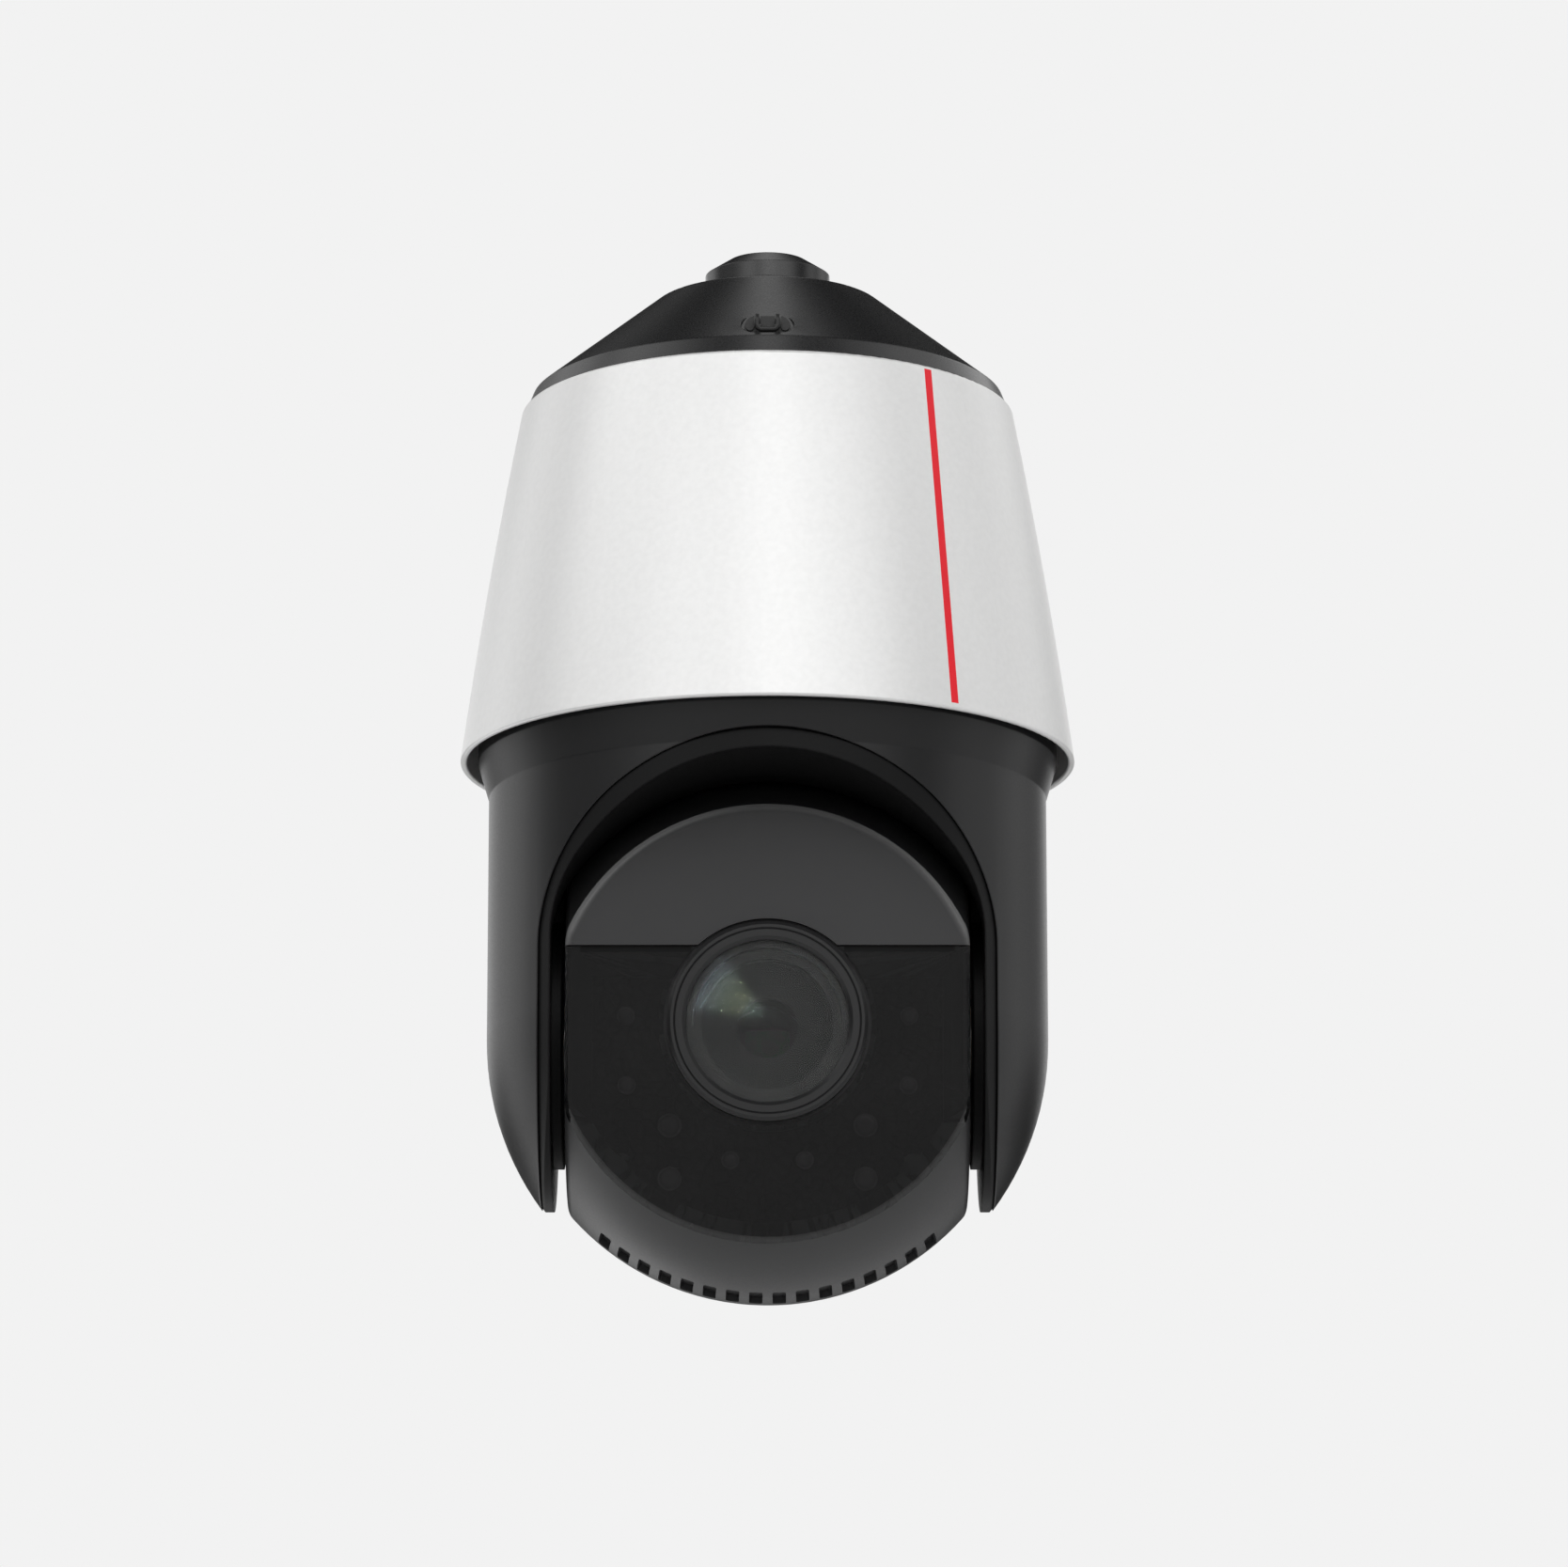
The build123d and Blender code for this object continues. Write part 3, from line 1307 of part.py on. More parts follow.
# Lens barrel, bolted behind the face wall and open at both ends
barrel_front = glass_front - glass_t - seat_gap
barrel_r = front_lens_r + barrel_wall
front_lens_seat = barrel_front - front_lens_recess
iris_seat = front_lens_seat - iris_gap
zoom_place = iris_seat - zoom_gap - cell_h
focus_place = zoom_place - focus_gap - cell_h
barrel_back = focus_place - barrel_tail
with BuildPart() as lens_barrel:
    revolve(
        outline(
            [
                (barrel_bore_r, barrel_back),
                (barrel_r, barrel_back),
                (barrel_r, face_wall_back - barrel_flange_t),
                (barrel_flange_r, face_wall_back - barrel_flange_t),
                (barrel_flange_r, face_wall_back),
                (barrel_r, face_wall_back),
                (barrel_r, barrel_front),
                (front_lens_r + seat_gap, barrel_front),
                (front_lens_r + seat_gap, front_lens_seat),
                (barrel_bore_r, front_lens_seat),
            ],
            lens_section,
        ),
        axis=lens_axis,
    )
finish(lens_barrel, "lens_barrel")


def lens_face(radius, edge_back, edge_front, front_crown, back_crown, land=0.0):
    """Half section of a lens with crowned faces, and a flat land round the back one."""
    back_r = radius - land
    with BuildSketch(lens_section) as sketch:
        with BuildLine():
            Line((0, edge_back - back_crown), (0, edge_front + front_crown))
            front_curve = (radius**2 + front_crown**2) / (2 * front_crown)
            RadiusArc((0, edge_front + front_crown), (radius, edge_front), front_curve)
            Line((radius, edge_front), (radius, edge_back))
            if land > 0:
                Line((radius, edge_back), (back_r, edge_back))
            back_curve = (back_r**2 + back_crown**2) / (2 * back_crown)
            RadiusArc((back_r, edge_back), (0, edge_back - back_crown), back_curve)
        make_face()
    return sketch.sketch


front_lens_front = front_lens_seat + front_lens_t
with BuildPart() as front_lens:
    revolve(
        lens_face(
            front_lens_r,
            front_lens_seat,
            front_lens_front,
            front_lens_crown,
            front_lens_back_crown,
            land=front_lens_r - barrel_bore_r + seat_gap,
        ),
        axis=lens_axis,
    )
finish(front_lens, "front_lens")

with BuildPart() as lens_retainer:
    revolve(
        outline(
            [
                (retainer_r, front_lens_front + front_lens_crown / 2),
                (front_lens_r, front_lens_front),
                (front_lens_r, front_lens_front + retainer_t),
                (retainer_r, front_lens_front + retainer_t),
            ],
            lens_section,
        ),
        axis=lens_axis,
    )
finish(lens_retainer, "lens_retainer")

# Iris plate and the two rods that the moving cells slide on
with BuildPart() as iris_plate:
    with BuildSketch(lens_plane.offset(iris_seat)):
        Circle(barrel_bore_r - seat_gap)
        Circle(iris_r, mode=Mode.SUBTRACT)
    extrude(amount=iris_t)
    with BuildSketch(lens_plane.offset(iris_seat)):
        with PolarLocations(rod_circle, 2):
            Circle(rod_r + seat_gap)
    extrude(amount=rod_seat, mode=Mode.SUBTRACT)
finish(iris_plate, "iris_plate")

with BuildPart() as guide_rods:
    with BuildSketch(lens_plane.offset(barrel_back)):
        with PolarLocations(rod_circle, 2):
            Circle(rod_r)
    extrude(amount=iris_seat + rod_seat - barrel_back)
finish(guide_rods, "guide_rods")

# Zoom and focus cells with their lenses
for name, place in (("zoom", zoom_place), ("focus", focus_place)):
    with BuildPart() as cell:
        with BuildSketch(lens_plane.offset(place)):
            Circle(barrel_bore_r - move_gap)
            Circle(cell_lens_r, mode=Mode.SUBTRACT)
            with PolarLocations(rod_circle, 2):
                Circle(rod_r + run_gap, mode=Mode.SUBTRACT)
        extrude(amount=cell_h)
    finish(cell, f"{name}_cell")
    with BuildPart() as cell_lens:
        lens_back = place + (cell_h - cell_lens_edge) / 2
        revolve(
            lens_face(
                cell_lens_r, lens_back, lens_back + cell_lens_edge, cell_lens_crown, cell_lens_crown
            ),
            axis=lens_axis,
        )
    finish(cell_lens, f"{name}_lens")

# Image sensor on its board, behind the barrel
with BuildPart() as sensor_holder:
    with BuildSketch(lens_plane.offset(barrel_back)):
        Circle(barrel_r)
        Rectangle(holder_hole, holder_hole, mode=Mode.SUBTRACT)
    extrude(amount=-holder_t)
finish(sensor_holder, "sensor_holder")

with BuildPart() as sensor_board:
    with BuildSketch(lens_plane.offset(barrel_back - holder_t)):
        RectangleRounded(sensor_board_size, sensor_board_size, screw_r)
    extrude(amount=-board_t)
    with BuildSketch(lens_plane.offset(barrel_back - holder_t)):
        Rectangle(sensor_size, sensor_size)
    extrude(amount=sensor_t)
finish(sensor_board, "sensor_board")

# Hubs that carry the head, the left one with the tilt gear and the right one hollow for wires
hub_ends = {-1: gear_far_x, 1: opening_x}
for side, name in ((-1, "tilt_hub_left"), (1, "tilt_hub_right")):
    with BuildPart() as tilt_hub:
        with BuildSketch(side_plane(side * inner_flat_x, outward=side)):
            Circle(hub_flange_r)
            with PolarLocations(hub_screw_circle, hub_screw_count):
                Circle(small_screw_r + seat_gap, mode=Mode.SUBTRACT)
        extrude(amount=-hub_flange_h)
        with BuildSketch(side_plane(side * inner_flat_x, outward=side)):
            Circle(hub_shaft_r)
        extrude(amount=hub_ends[side] - inner_flat_x)
        if side > 0:
            with BuildSketch(side_plane(side * inner_flat_x, outward=side)):
                Circle(hub_cable_r)
            extrude(amount=hub_ends[side], both=True, mode=Mode.SUBTRACT)
    finish(tilt_hub, name)

with BuildPart() as hub_screws:
    for side in (-1, 1):
        with BuildSketch(side_plane(side * (inner_flat_x - hub_flange_h), outward=side)):
            with PolarLocations(hub_screw_circle, hub_screw_count):
                Circle(small_head_r)
        extrude(amount=-small_head_h)
        with BuildSketch(side_plane(side * (inner_flat_x - hub_flange_h), outward=side)):
            with PolarLocations(hub_screw_circle, hub_screw_count):
                Circle(small_screw_r)
        extrude(amount=hub_flange_h + hub_screw_depth - seat_gap)
finish(hub_screws, "hub_screws")

with BuildPart() as tilt_gear:
    extrude(gear_face(tilt_teeth, side_plane(-gear_near_x, outward=-1)), amount=tilt_gear_h)
    with BuildSketch(side_plane(-gear_near_x, outward=-1)):
        Circle(hub_shaft_r + seat_gap)
    extrude(amount=tilt_gear_h, mode=Mode.SUBTRACT)
    with BuildSketch(side_plane(-gear_far_x, outward=-1)):
        Circle(tilt_gear_cap_r)
    extrude(amount=tilt_gear_cap_h)
finish(tilt_gear, "tilt_gear")
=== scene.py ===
import json
from math import cos, pi, radians, sin

import bpy
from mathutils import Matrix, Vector


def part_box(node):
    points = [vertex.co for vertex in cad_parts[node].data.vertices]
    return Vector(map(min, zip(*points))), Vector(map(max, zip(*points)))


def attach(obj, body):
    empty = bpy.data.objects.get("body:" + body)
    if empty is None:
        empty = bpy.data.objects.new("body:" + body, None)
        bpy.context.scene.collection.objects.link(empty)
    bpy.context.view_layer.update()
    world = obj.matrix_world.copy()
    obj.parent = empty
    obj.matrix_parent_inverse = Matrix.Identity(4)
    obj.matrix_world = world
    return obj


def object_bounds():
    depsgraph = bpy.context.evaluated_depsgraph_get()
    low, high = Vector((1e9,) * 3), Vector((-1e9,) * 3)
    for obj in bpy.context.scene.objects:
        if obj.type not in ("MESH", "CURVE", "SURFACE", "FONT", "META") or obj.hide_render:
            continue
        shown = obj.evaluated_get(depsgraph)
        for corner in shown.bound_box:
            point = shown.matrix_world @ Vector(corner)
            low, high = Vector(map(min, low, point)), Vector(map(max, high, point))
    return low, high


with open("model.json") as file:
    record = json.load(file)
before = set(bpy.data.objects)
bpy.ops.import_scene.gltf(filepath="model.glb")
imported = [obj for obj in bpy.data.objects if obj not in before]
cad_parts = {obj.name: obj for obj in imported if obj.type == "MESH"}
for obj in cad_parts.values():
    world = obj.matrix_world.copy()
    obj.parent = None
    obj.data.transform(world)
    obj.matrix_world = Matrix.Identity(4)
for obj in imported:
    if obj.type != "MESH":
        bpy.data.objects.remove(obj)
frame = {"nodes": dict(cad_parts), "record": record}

# Looks of a hanging pan-tilt security camera, in metres, in the frame of the model:
# the origin is at the mouth of the pipe thread, +Z is up and the lens looks towards -Y.
CAD_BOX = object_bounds()

# Camera, fitted to the photograph's view from below: place, pitch in degrees, lens and sensor in
# millimetres, and sideways shift as a share of the sensor
CAMERA_PLACE = (0.0, -2.441, -0.7541)
CAMERA_PITCH = 12.92
CAMERA_LENS = 160.6
CAMERA_SENSOR = 36.0
CAMERA_SHIFT = 0.0105

# Room: how far the floor lies below the object, its size and colour, and the backdrop's brightness
FLOOR_DROP = 1.2
FLOOR_SIZE = 12.0
FLOOR_COLOUR = (0.86, 0.86, 0.86)
BACKGROUND = 0.888

# Light of a dark room: soft boxes, each with its compass direction from the front towards +X, height,
# half width, half height, softness of the edge as a share of its size, and brightness. Directions and
# sizes are in degrees and given one by one, and most of the brightness is a fit to the photograph's
# tones.
SCREENS = {
    "front low": (0, 4, 42, 8, 0.3, 0.31),
    "front under": (0, -9, 40, 5, 0.5, 0.5),
    "front level": (0, 14, 28, 4, 0.4, 0.7),
    "front wide": (0, 28, 45, 16, 0.35, 1.52),
    "front middle": (3, 31, 12, 18, 0.6, 0.85),
    "front high": (0, 60, 12, 14, 0.5, 1.5),
    "right front": (45, 20, 15, 30, 0.5, 0.43),
    "right high": (70, 45, 20, 14, 0.5, 0.68),
    "right side": (88, 10, 12, 40, 0.5, 0.95),
    "right side high": (112, 50, 18, 14, 0.5, 0.38),
    "right back": (118, 10, 12, 40, 0.5, 0.85),
    "right back low": (142, 13, 10, 7, 0.5, 0.3),
    "right back high": (142, 34, 12, 12, 0.5, 1.58),
    "back right": (167, 13, 10, 6, 0.5, 1.7),
    "back left": (-167, 13, 10, 6, 0.5, 1.2),
    "left back low": (-150, 13, 10, 7, 0.5, 0.81),
    "left back high": (-150, 34, 12, 12, 0.5, 0.42),
    "left back": (-128, 10, 12, 40, 0.5, 1.07),
    "left side": (-112, 10, 8, 40, 0.5, 0.56),
    "left side high": (-112, 50, 18, 14, 0.5, 0.26),
    "left upper": (-80, 35, 16, 14, 0.5, 1.42),
    "left high": (-70, 45, 20, 14, 0.5, 0.9),
    "left front": (-45, 20, 15, 30, 0.5, 0.61),
    "back high": (180, 63, 7, 20, 0.5, 0.85),
    "zenith": (0, 90, 180, 12, 0.3, 0.69),
}

# Point just in front of the lens, from which far lights are placed and at which they aim
LENS_PLACE = (0.0, -0.08, -0.293)

# Coloured card that only the lens's cover glass sees: height in degrees of what the lens reflects to
# the camera, degrees from there to the card's tip and to its far side, the directions of that side's
# ends, its distance and brightness, and its colours from tip to far side
LENS_GLANCE = 6.7
CARD_TIP = 1.5
CARD_REACH = 28.0
CARD_ENDS = (128.0, 174.0)
CARD_AWAY = 1.5
CARD_LEVEL = 140.0
CARD_TINTS = (
    (0.0, (0.75, 1.0, 0.95)),
    (0.26, (0.75, 1.0, 0.92)),
    (0.42, (0.46, 0.50, 0.26)),
    (0.65, (0.48, 0.60, 0.42)),
    (0.95, (0.42, 0.56, 0.66)),
)

# Lights that only the face and its window see, which brighten the face's edge from both sides and from
# above: compass direction and height in degrees, size in metres and brightness
EDGE_LIGHTS = ((-95, 35, 1.3, 10.0), (95, 35, 1.3, 10.0), (0, 78, 0.9, 1.6))
EDGE_AWAY = 1.2
EDGE_SEEN_BY = ("face_plate", "ir_window")

# Low light behind the object, towards -X, which shows on the ball
LOW_LIGHT_PLACE = (-0.50, 0.62, -0.66)
LOW_LIGHT_SIZE = (0.7, 0.3)
LOW_LIGHT_LEVEL = 0.9

# Dark strips at the bottom of the groove between face and window: how far out they run from the lens's
# axis, how high above it, how wide, and their back and front seen from the middle of the cover glass
HEAD_TILT = 3.0
STRIP_SPAN = (0.0266, 0.0652)
STRIP_RISE = 0.0257
STRIP_WIDTH = 0.0022
STRIP_DEPTH = (-0.002, -0.0017)

# Surface detail: the part of a noise's range that counts, and how far tone, roughness and height go
NOISE_SPAN = (0.3, 0.7)
GRAIN_DETAIL = 3.0
GRAIN_ROUGHNESS = 0.03
STREAK_SIZE = 0.0003
STREAK_TONES = (0.85, 1.1)
STREAK_ROUGHNESS = 0.08
STREAK_DEPTH = 0.000008
SMUDGE_SIZE = 0.012
SMUDGE_SPAN = (0.45, 0.75)
SMUDGE_TONE = 0.97
SMUDGE_ROUGHNESS = 0.03
WINDOW_HAZE_SIZE = 0.03
WINDOW_TONES = (0.92, 1.08)
WINDOW_ROUGHNESS = (0.06, 0.1)
WINDOW_BENDING = 1.49
TRACK_PITCH = 0.004
TRACK_EDGE = (0.04, 0.08)
TRACK_DEPTH = 0.00004
BOARD_ROUGHNESS = (0.32, 0.24)

# Lenses, their cover glass and the dome that its coating follows; coatings leave little reflection, so
# the light bends less than in bare glass, and what of the cover isn't clear is a faint haze
LENS_BENDING = 1.04
COVER_DARK = (0.94, 0.94, 0.94)
COVER_LIGHT = (0.98, 0.98, 0.98)
COVER_CLEAR = 0.981
COVER_BENDING = 1.06
COAT_BENDING = 1.06
COAT_ROUGHNESS = 0.1
DOME_R = 0.114


def make_camera():
    data = bpy.data.cameras.new("camera")
    data.sensor_width = CAMERA_SENSOR
    data.lens = CAMERA_LENS
    data.shift_x = CAMERA_SHIFT
    camera = bpy.data.objects.new("camera", data)
    camera.location = CAMERA_PLACE
    camera.rotation_euler = (radians(90 + CAMERA_PITCH), 0, 0)
    bpy.context.scene.collection.objects.link(camera)
    bpy.context.scene.camera = camera
    bpy.context.scene.view_settings.view_transform = "Standard"


def calc(tree, operation, *values):
    """Math node; each value is a number or a socket."""
    node = tree.nodes.new("ShaderNodeMath")
    node.operation = operation
    for socket, value in zip(node.inputs, values):
        if isinstance(value, (int, float)):
            socket.default_value = value
        else:
            tree.links.new(value, socket)
    return node.outputs[0]


def fade(tree, value, start, end, low, high):
    """Smooth step of a value from one level to another."""
    node = tree.nodes.new("ShaderNodeMapRange")
    node.interpolation_type = "SMOOTHSTEP"
    for name, number in (("From Min", start), ("From Max", end), ("To Min", low), ("To Max", high)):
        node.inputs[name].default_value = number
    tree.links.new(value, node.inputs["Value"])
    return node.outputs["Result"]


def make_world():
    """Soft boxes round the object, in front of a plain backdrop that only the camera sees."""
    world = bpy.data.worlds.new("studio")
    bpy.context.scene.world = world
    world.use_nodes = True
    tree = world.node_tree
    way = tree.nodes.new("ShaderNodeTexCoord").outputs["Generated"]
    split = tree.nodes.new("ShaderNodeSeparateXYZ")
    tree.links.new(way, split.inputs[0])
    x, y, z = split.outputs
    compass = calc(tree, "ARCTAN2", x, calc(tree, "MULTIPLY", y, -1.0))
    height = calc(tree, "ARCSINE", z)
    light = 0.0
    for turn, rise, half_width, half_height, soft, level in SCREENS.values():
        aside = calc(tree, "WRAP", calc(tree, "SUBTRACT", compass, radians(turn)), pi, -pi)
        aside = calc(tree, "DIVIDE", calc(tree, "ABSOLUTE", aside), radians(half_width))
        above = calc(tree, "ABSOLUTE", calc(tree, "SUBTRACT", height, radians(rise)))
        above = calc(tree, "DIVIDE", above, radians(half_height))
        share = fade(tree, calc(tree, "MAXIMUM", aside, above), 1 - soft, 1 + soft, level, 0.0)
        light = calc(tree, "ADD", light, share)
    seen = tree.nodes.new("ShaderNodeLightPath").outputs["Is Camera Ray"]
    step = calc(tree, "SUBTRACT", BACKGROUND, light)
    light = calc(tree, "MULTIPLY_ADD", step, seen, light)
    shade = tree.nodes["Background"]
    shade.inputs["Color"].default_value = (1, 1, 1, 1)
    tree.links.new(light, shade.inputs["Strength"])


def far_place(turn, rise, away):
    """Place at a distance from the lens, by compass direction and height in degrees."""
    turn, rise = radians(turn), radians(rise)
    return Vector(LENS_PLACE) + away * Vector((sin(turn) * cos(rise), -cos(turn) * cos(rise), sin(rise)))


def node_group(name, nodes):
    """Collection of the named nodes, for lights that only these see."""
    group = bpy.data.collections.new(name)
    for node in nodes:
        group.objects.link(frame["nodes"][node])
    return group


def lens_card_corner(angle, way):
    """Place of a card's corner that the lens shows at this angle from its own reflection."""
    return far_place(angle * cos(radians(way)), LENS_GLANCE + angle * sin(radians(way)), CARD_AWAY)


def lens_card_glow(reach):
    """Glow of the card, from its tip's colour to its far side's, for reflections only."""
    material = bpy.data.materials.new("lens_card")
    material.use_nodes = True
    tree = material.node_tree
    tree.nodes.remove(tree.nodes["Principled BSDF"])
    place = tree.nodes.new("ShaderNodeTexCoord").outputs["Object"]
    length = tree.nodes.new("ShaderNodeVectorMath")
    length.operation = "LENGTH"
    tree.links.new(place, length.inputs[0])
    ramp = tree.nodes.new("ShaderNodeValToRGB")
    stops = ramp.color_ramp.elements
    while len(stops) < len(CARD_TINTS):
        stops.new(0.5)
    for stop, (position, tint) in zip(stops, CARD_TINTS):
        stop.position = position
        stop.color = (*tint, 1)
    tree.links.new(calc(tree, "DIVIDE", length.outputs["Value"], reach), ramp.inputs["Fac"])
    glow = tree.nodes.new("ShaderNodeEmission")
    through = tree.nodes.new("ShaderNodeLightPath").outputs["Is Transmission Ray"]
    tree.links.new(calc(tree, "MULTIPLY_ADD", through, -CARD_LEVEL, CARD_LEVEL), glow.inputs["Strength"])
    tree.links.new(ramp.outputs["Color"], glow.inputs["Color"])
    tree.links.new(glow.outputs["Emission"], tree.nodes["Material Output"].inputs["Surface"])
    return material


def make_lens_card():
    """Three-cornered card whose reflection is the coloured wedge in the lens."""
    tip = lens_card_corner(CARD_TIP, sum(CARD_ENDS) / 2)
    ends = [lens_card_corner(CARD_REACH, way) for way in CARD_ENDS]
    mesh = bpy.data.meshes.new("lens_card")
    mesh.from_pydata([(0, 0, 0), *(corner - tip for corner in ends)], [], [(0, 1, 2)])
    mesh.materials.append(lens_card_glow(((ends[0] + ends[1]) / 2 - tip).length))
    card = bpy.data.objects.new("lens_card", mesh)
    card.location = tip
    bpy.context.scene.collection.objects.link(card)
    card.light_linking.receiver_collection = node_group("lens_card", ("lens_glass",))
    card.visible_camera = False
    card.visible_diffuse = False


def make_soft_light(name, place, size, level, seen_by=()):
    """Rectangular light towards the head, or one that only glints on the named nodes."""
    data = bpy.data.lights.new(name, "AREA")
    data.shape = "RECTANGLE"
    data.size, data.size_y = size
    data.energy = pi * data.size * data.size_y * level
    light = bpy.data.objects.new(name, data)
    light.location = place
    light.rotation_euler = (Vector(LENS_PLACE) - light.location).to_track_quat("-Z", "Y").to_euler()
    light.visible_camera = False
    bpy.context.scene.collection.objects.link(light)
    if seen_by:
        light.visible_diffuse = False
        light.light_linking.receiver_collection = node_group(name, seen_by)
        light.light_linking.blocker_collection = node_group(name, seen_by)


def make_edge_lights():
    for turn, rise, size, level in EDGE_LIGHTS:
        place = far_place(turn, rise, EDGE_AWAY)
        make_soft_light("edge_light", place, (size, size), level, EDGE_SEEN_BY)


def lens_middle():
    """Middle of the cover glass."""
    low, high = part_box("lens_glass")
    return (Vector(low) + Vector(high)) / 2


def start_material(name):
    """New material with its shader and the place on the piece, in metres."""
    material = bpy.data.materials.new(name)
    material.use_nodes = True
    tree = material.node_tree
    place = tree.nodes.new("ShaderNodeTexCoord").outputs["Object"]
    return material, tree, tree.nodes["Principled BSDF"], place


def noise(tree, place, size, detail=2.0):
    node = tree.nodes.new("ShaderNodeTexNoise")
    node.inputs["Scale"].default_value = 1 / size
    node.inputs["Detail"].default_value = detail
    tree.links.new(place, node.inputs["Vector"])
    return node.outputs["Fac"]


def tones(tree, factor, dark, light):
    """Colour that goes between two tones over the middle of a noise."""
    node = tree.nodes.new("ShaderNodeValToRGB")
    for stop, position, tone in zip(node.color_ramp.elements, NOISE_SPAN, (dark, light)):
        stop.position = position
        stop.color = (*tone, 1)
    tree.links.new(factor, node.inputs["Fac"])
    return node.outputs["Color"]


def grain(tree, shader, height, depth, edge=0.0):
    """Fine grain, on edges that look rounded to the given radius."""
    node = tree.nodes.new("ShaderNodeBump")
    node.inputs["Distance"].default_value = depth
    tree.links.new(height, node.inputs["Height"])
    if edge:
        rounded = tree.nodes.new("ShaderNodeBevel")
        rounded.inputs["Radius"].default_value = edge
        tree.links.new(rounded.outputs["Normal"], node.inputs["Normal"])
    tree.links.new(node.outputs["Normal"], shader.inputs["Normal"])


def shift(colour, factor):
    """Lighter or darker tone of a colour."""
    return tuple(min(1.0, channel * factor) for channel in colour)


def moulded(
    name,
    colour,
    roughness,
    specular,
    drift=0.06,
    drift_size=0.06,
    grain_size=0.0006,
    grain_depth=0.00001,
    metallic=0.0,
    edge=0.0,
):
    """Moulded, painted or anodised surface: a drift of tone and a fine grain."""
    material, tree, shader, place = start_material(name)
    slow = noise(tree, place, drift_size)
    fine = noise(tree, place, grain_size, GRAIN_DETAIL)
    base = tones(tree, slow, shift(colour, 1 - drift), shift(colour, 1 + drift))
    gloss = fade(tree, fine, *NOISE_SPAN, roughness - GRAIN_ROUGHNESS, roughness + GRAIN_ROUGHNESS)
    tree.links.new(base, shader.inputs["Base Color"])
    tree.links.new(gloss, shader.inputs["Roughness"])
    shader.inputs["Specular IOR Level"].default_value = specular
    shader.inputs["Metallic"].default_value = metallic
    grain(tree, shader, fine, grain_depth, edge)
    return material


def brushed(name, colour, roughness, along):
    """Machined metal with fine streaks along one direction."""
    material, tree, shader, place = start_material(name)
    stretch = tree.nodes.new("ShaderNodeMapping")
    stretch.inputs["Scale"].default_value = along
    tree.links.new(place, stretch.inputs["Vector"])
    lines = noise(tree, stretch.outputs["Vector"], STREAK_SIZE)
    base = tones(tree, lines, *(shift(colour, tone) for tone in STREAK_TONES))
    gloss = fade(tree, lines, *NOISE_SPAN, roughness - STREAK_ROUGHNESS, roughness + STREAK_ROUGHNESS)
    tree.links.new(base, shader.inputs["Base Color"])
    tree.links.new(gloss, shader.inputs["Roughness"])
    shader.inputs["Metallic"].default_value = 1.0
    grain(tree, shader, lines, STREAK_DEPTH)
    return material


def glass(name, colour, bending):
    """Coated lens with a faint smudge."""
    material, tree, shader, place = start_material(name)
    smudge = noise(tree, place, SMUDGE_SIZE)
    gloss = fade(tree, smudge, *SMUDGE_SPAN, 0.0, SMUDGE_ROUGHNESS)
    tree.links.new(gloss, shader.inputs["Roughness"])
    tree.links.new(tones(tree, smudge, shift(colour, SMUDGE_TONE), colour), shader.inputs["Base Color"])
    shader.inputs["Transmission Weight"].default_value = 1.0
    shader.inputs["IOR"].default_value = bending
    return material


def dome_normal(tree, place):
    """Direction that the surface of a dome over the lens would have."""
    out = tree.nodes.new("ShaderNodeVectorMath")
    out.operation = "SUBTRACT"
    out.inputs[1].default_value = lens_middle()
    tree.links.new(place, out.inputs[0])
    square = tree.nodes.new("ShaderNodeVectorMath")
    square.operation = "DOT_PRODUCT"
    tree.links.new(out.outputs["Vector"], square.inputs[0])
    tree.links.new(out.outputs["Vector"], square.inputs[1])
    dome = tree.nodes.new("ShaderNodeBump")
    dome.inputs["Distance"].default_value = 1.0
    tree.links.new(calc(tree, "DIVIDE", square.outputs["Value"], -2 * DOME_R), dome.inputs["Height"])
    return dome.outputs["Normal"]


def cover_glass():
    """Flat glass over the lens with a faint haze, and a coating whose glints follow a dome."""
    material, tree, shader, place = start_material("cover_glass")
    smudge = noise(tree, place, SMUDGE_SIZE)
    tree.links.new(tones(tree, smudge, COVER_DARK, COVER_LIGHT), shader.inputs["Base Color"])
    shader.inputs["Roughness"].default_value = 0.0
    shader.inputs["Transmission Weight"].default_value = COVER_CLEAR
    shader.inputs["IOR"].default_value = COVER_BENDING
    shader.inputs["Coat Weight"].default_value = 1.0
    shader.inputs["Coat IOR"].default_value = COAT_BENDING
    shader.inputs["Coat Roughness"].default_value = COAT_ROUGHNESS
    tree.links.new(dome_normal(tree, place), shader.inputs["Coat Normal"])
    return material


def smoked(name, colour):
    """Dark polished window that lets a little light through."""
    material, tree, shader, place = start_material(name)
    haze = noise(tree, place, WINDOW_HAZE_SIZE)
    base = tones(tree, haze, *(shift(colour, tone) for tone in WINDOW_TONES))
    tree.links.new(base, shader.inputs["Base Color"])
    tree.links.new(fade(tree, haze, *NOISE_SPAN, *WINDOW_ROUGHNESS), shader.inputs["Roughness"])
    shader.inputs["Transmission Weight"].default_value = 1.0
    shader.inputs["IOR"].default_value = WINDOW_BENDING
    return material


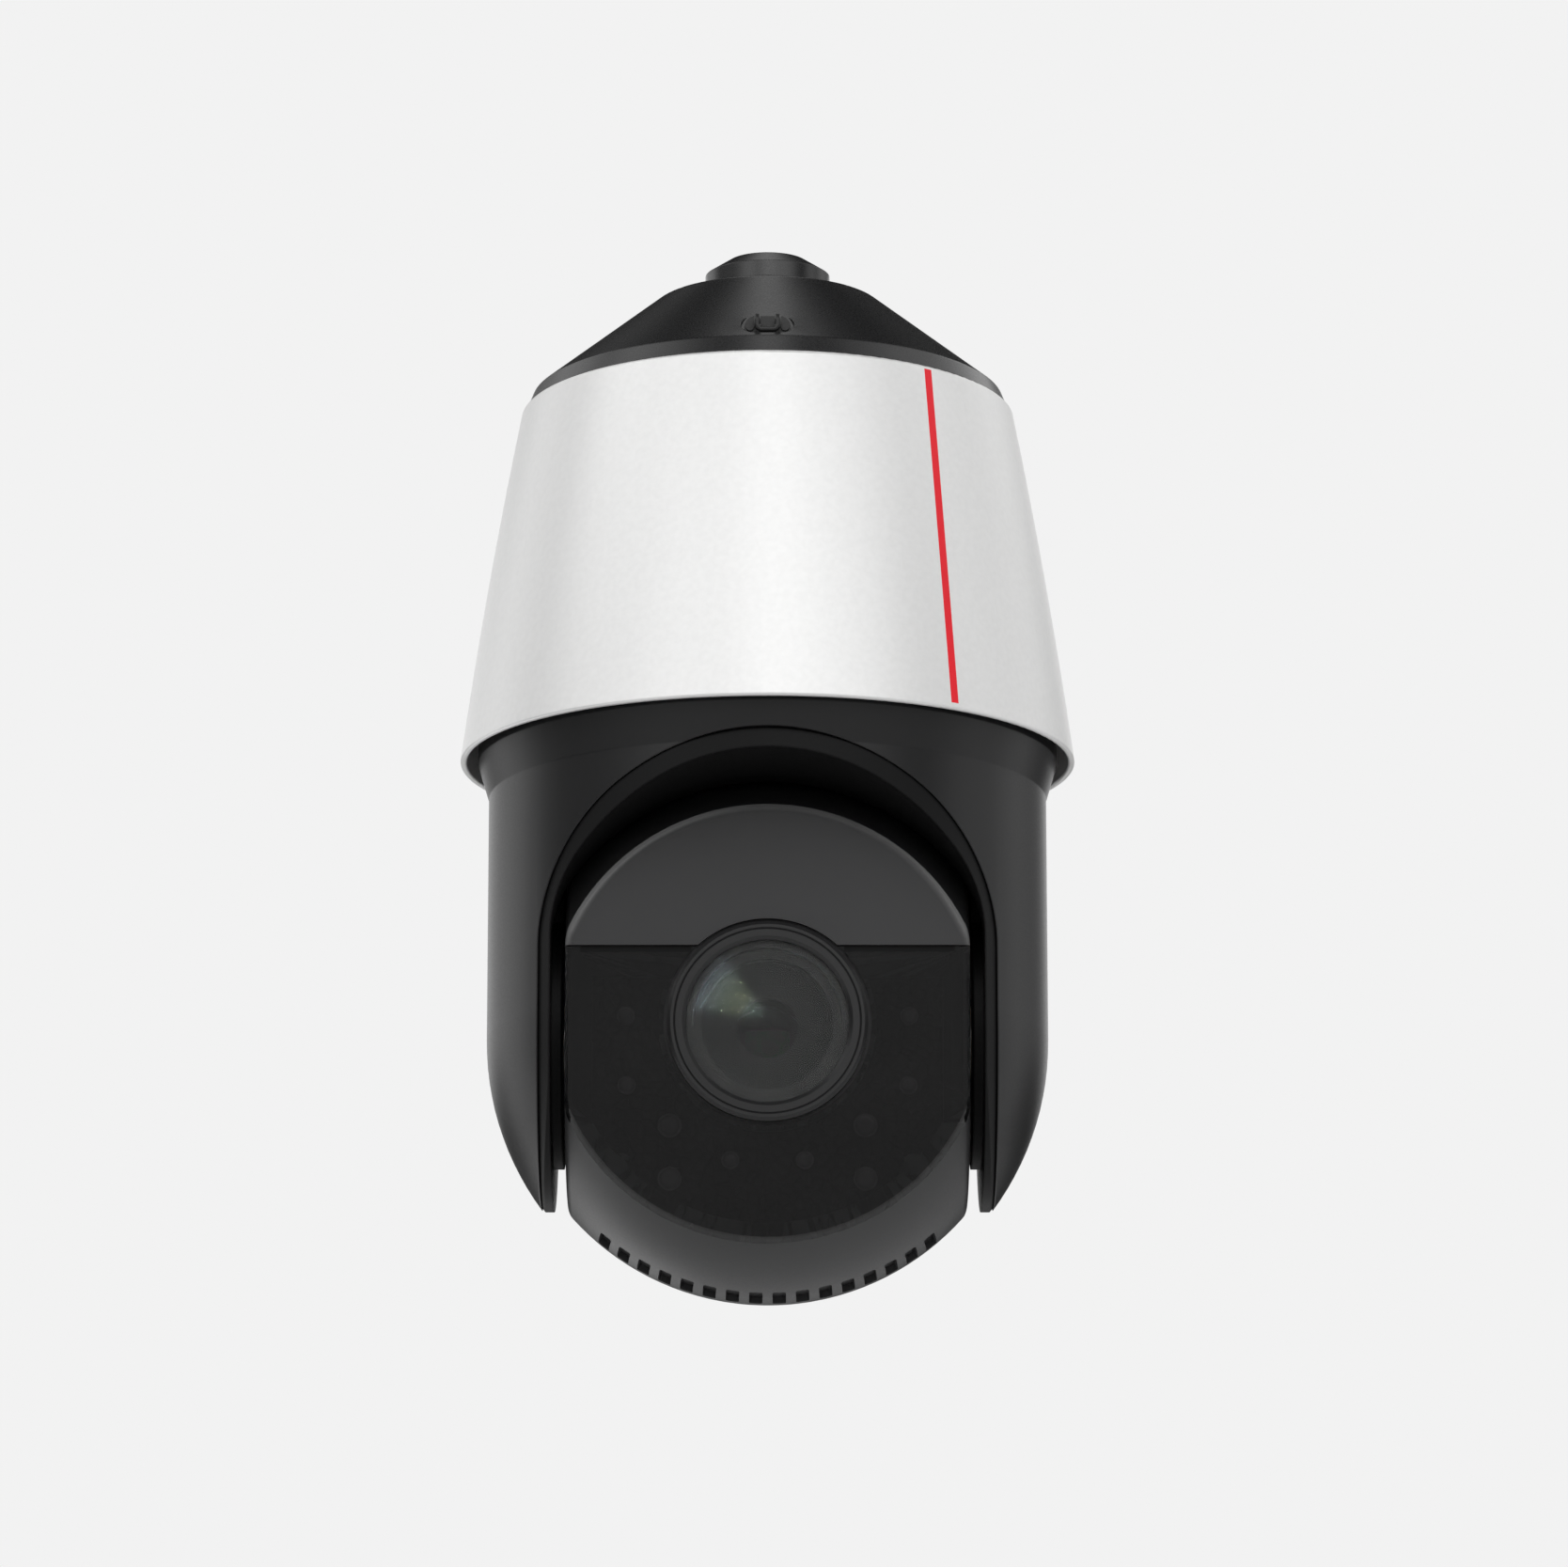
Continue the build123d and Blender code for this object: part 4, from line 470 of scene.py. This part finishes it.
def board(name, colour, track):
    """Lacquered circuit board with its copper tracks showing through."""
    material, tree, shader, place = start_material(name)
    cells = tree.nodes.new("ShaderNodeTexVoronoi")
    cells.feature = "DISTANCE_TO_EDGE"
    cells.inputs["Scale"].default_value = 1 / TRACK_PITCH
    tree.links.new(place, cells.inputs["Vector"])
    line = fade(tree, cells.outputs["Distance"], *TRACK_EDGE, 1.0, 0.0)
    tree.links.new(tones(tree, line, colour, track), shader.inputs["Base Color"])
    tree.links.new(fade(tree, line, 0.0, 1.0, *BOARD_ROUGHNESS), shader.inputs["Roughness"])
    grain(tree, shader, line, TRACK_DEPTH)
    return material


# Finish of each slot; moulded and brushed ones have their colour and roughness, and moulded ones then
# how strongly they shine
MATERIALS = {
    "cast_black": moulded("cast_black", (0.010, 0.010, 0.0105), 0.36, 0.35, edge=0.0008),
    "shroud_white": moulded(
        "shroud_white", (0.83, 0.83, 0.825), 0.42, 0.5, drift=0.02, drift_size=0.0022, metallic=0.4
    ),
    "stripe_red": moulded("stripe_red", (0.86, 0.010, 0.024), 0.4, 0.3, drift=0.03),
    "liner_black": moulded("liner_black", (0.005, 0.005, 0.0052), 0.5, 0.16, edge=0.001),
    "head_grey": moulded("head_grey", (0.035, 0.035, 0.036), 0.42, 0.4),
    "face_grey": moulded("face_grey", (0.030, 0.030, 0.031), 0.45, 0.35),
    "window_dark": smoked("window_dark", (0.125, 0.125, 0.125)),
    "bezel_black": moulded("bezel_black", (0.016, 0.016, 0.0165), 0.34, 0.4),
    "cell_black": moulded("cell_black", (0.004, 0.004, 0.004), 0.6, 0.2),
    "optical_glass": glass("optical_glass", (0.70, 0.72, 0.71), LENS_BENDING),
    "rubber_black": moulded("rubber_black", (0.012, 0.012, 0.012), 0.7, 0.3, grain_depth=0.00003),
    "steel": brushed("steel", (0.55, 0.55, 0.56), 0.32, (1, 1, 0.05)),
    "black_steel": moulded("black_steel", (0.012, 0.012, 0.012), 0.38, 0.4),
    "bearing_steel": brushed("bearing_steel", (0.70, 0.70, 0.72), 0.2, (1, 1, 0.05)),
    "brass": brushed("brass", (0.70, 0.52, 0.24), 0.3, (0.05, 1, 1)),
    "gear_plastic": moulded("gear_plastic", (0.80, 0.78, 0.70), 0.45, 0.5, drift=0.02),
    "board_green": board("board_green", (0.012, 0.10, 0.04), (0.03, 0.20, 0.08)),
    "raw_aluminium": moulded(
        "raw_aluminium", (0.60, 0.60, 0.61), 0.45, 0.5, grain_depth=0.00003, metallic=1.0
    ),
    "motor_dark": moulded("motor_dark", (0.03, 0.03, 0.03), 0.4, 0.45),
    "slip_ring": moulded("slip_ring", (0.04, 0.04, 0.05), 0.3, 0.5),
    "lamp_lens": moulded("lamp_lens", (0.32, 0.30, 0.32), 0.12, 0.6, drift=0.1, grain_depth=0.000002),
}

# Nodes that differ from the rest of their slot
CAP_BLACK = moulded("cap_black", (0.009, 0.009, 0.0095), 0.29, 0.65, edge=0.0006)
BORE_BLACK = moulded("bore_black", (0.003, 0.003, 0.003), 0.5, 0.25)
NODE_MATERIALS = {
    "lens_glass": cover_glass(),
    "top_cap": CAP_BLACK,
    "pipe_boss": CAP_BLACK,
    "lens_barrel": BORE_BLACK,
    "lens_retainer": BORE_BLACK,
    "ir_board": board("lamp_board", (0.004, 0.004, 0.004), (0.007, 0.007, 0.007)),
}


def dress_nodes():
    """Gives each node its own material or that of its slot in the record."""
    for part in frame["record"]["subparts"]:
        node = frame["nodes"][part["node"]]
        node.data.materials.clear()
        node.data.materials.append(NODE_MATERIALS.get(part["node"], MATERIALS[part["material_slot"]]))


def make_strips():
    """Dark strips in the groove, on both sides of the lens."""
    middle = lens_middle()
    tilt = radians(HEAD_TILT)
    look = Vector((0, -cos(tilt), -sin(tilt)))
    up = Vector((0, -sin(tilt), cos(tilt)))
    corners = []
    for reach in STRIP_SPAN:
        for rise in (STRIP_RISE - STRIP_WIDTH / 2, STRIP_RISE + STRIP_WIDTH / 2):
            for depth in STRIP_DEPTH:
                corners.append(Vector((reach, 0, 0)) + rise * up + depth * look)
    faces = [(0, 1, 3, 2), (4, 6, 7, 5), (0, 4, 5, 1), (2, 3, 7, 6), (0, 2, 6, 4), (1, 5, 7, 3)]
    for name, side in (("groove_strip_left", -1), ("groove_strip_right", 1)):
        mesh = bpy.data.meshes.new(name)
        places = [middle + Vector((side * corner.x, corner.y, corner.z)) for corner in corners]
        mesh.from_pydata(places, [], [face[::side] for face in faces])
        mesh.materials.append(MATERIALS["cell_black"])
        strip = bpy.data.objects.new(name, mesh)
        bpy.context.scene.collection.objects.link(strip)
        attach(strip, "head")


def make_floor():
    lowest = CAD_BOX[0][2] - FLOOR_DROP
    bpy.ops.mesh.primitive_plane_add(size=FLOOR_SIZE, location=(0, 0, lowest))
    floor = bpy.context.object
    floor.name = "floor"
    floor.data.materials.append(moulded("floor", FLOOR_COLOUR, 0.9, 0.2, drift=0.01))


make_camera()
make_world()
make_floor()
make_lens_card()
make_soft_light("low_light", LOW_LIGHT_PLACE, LOW_LIGHT_SIZE, LOW_LIGHT_LEVEL)
make_edge_lights()
dress_nodes()
make_strips()
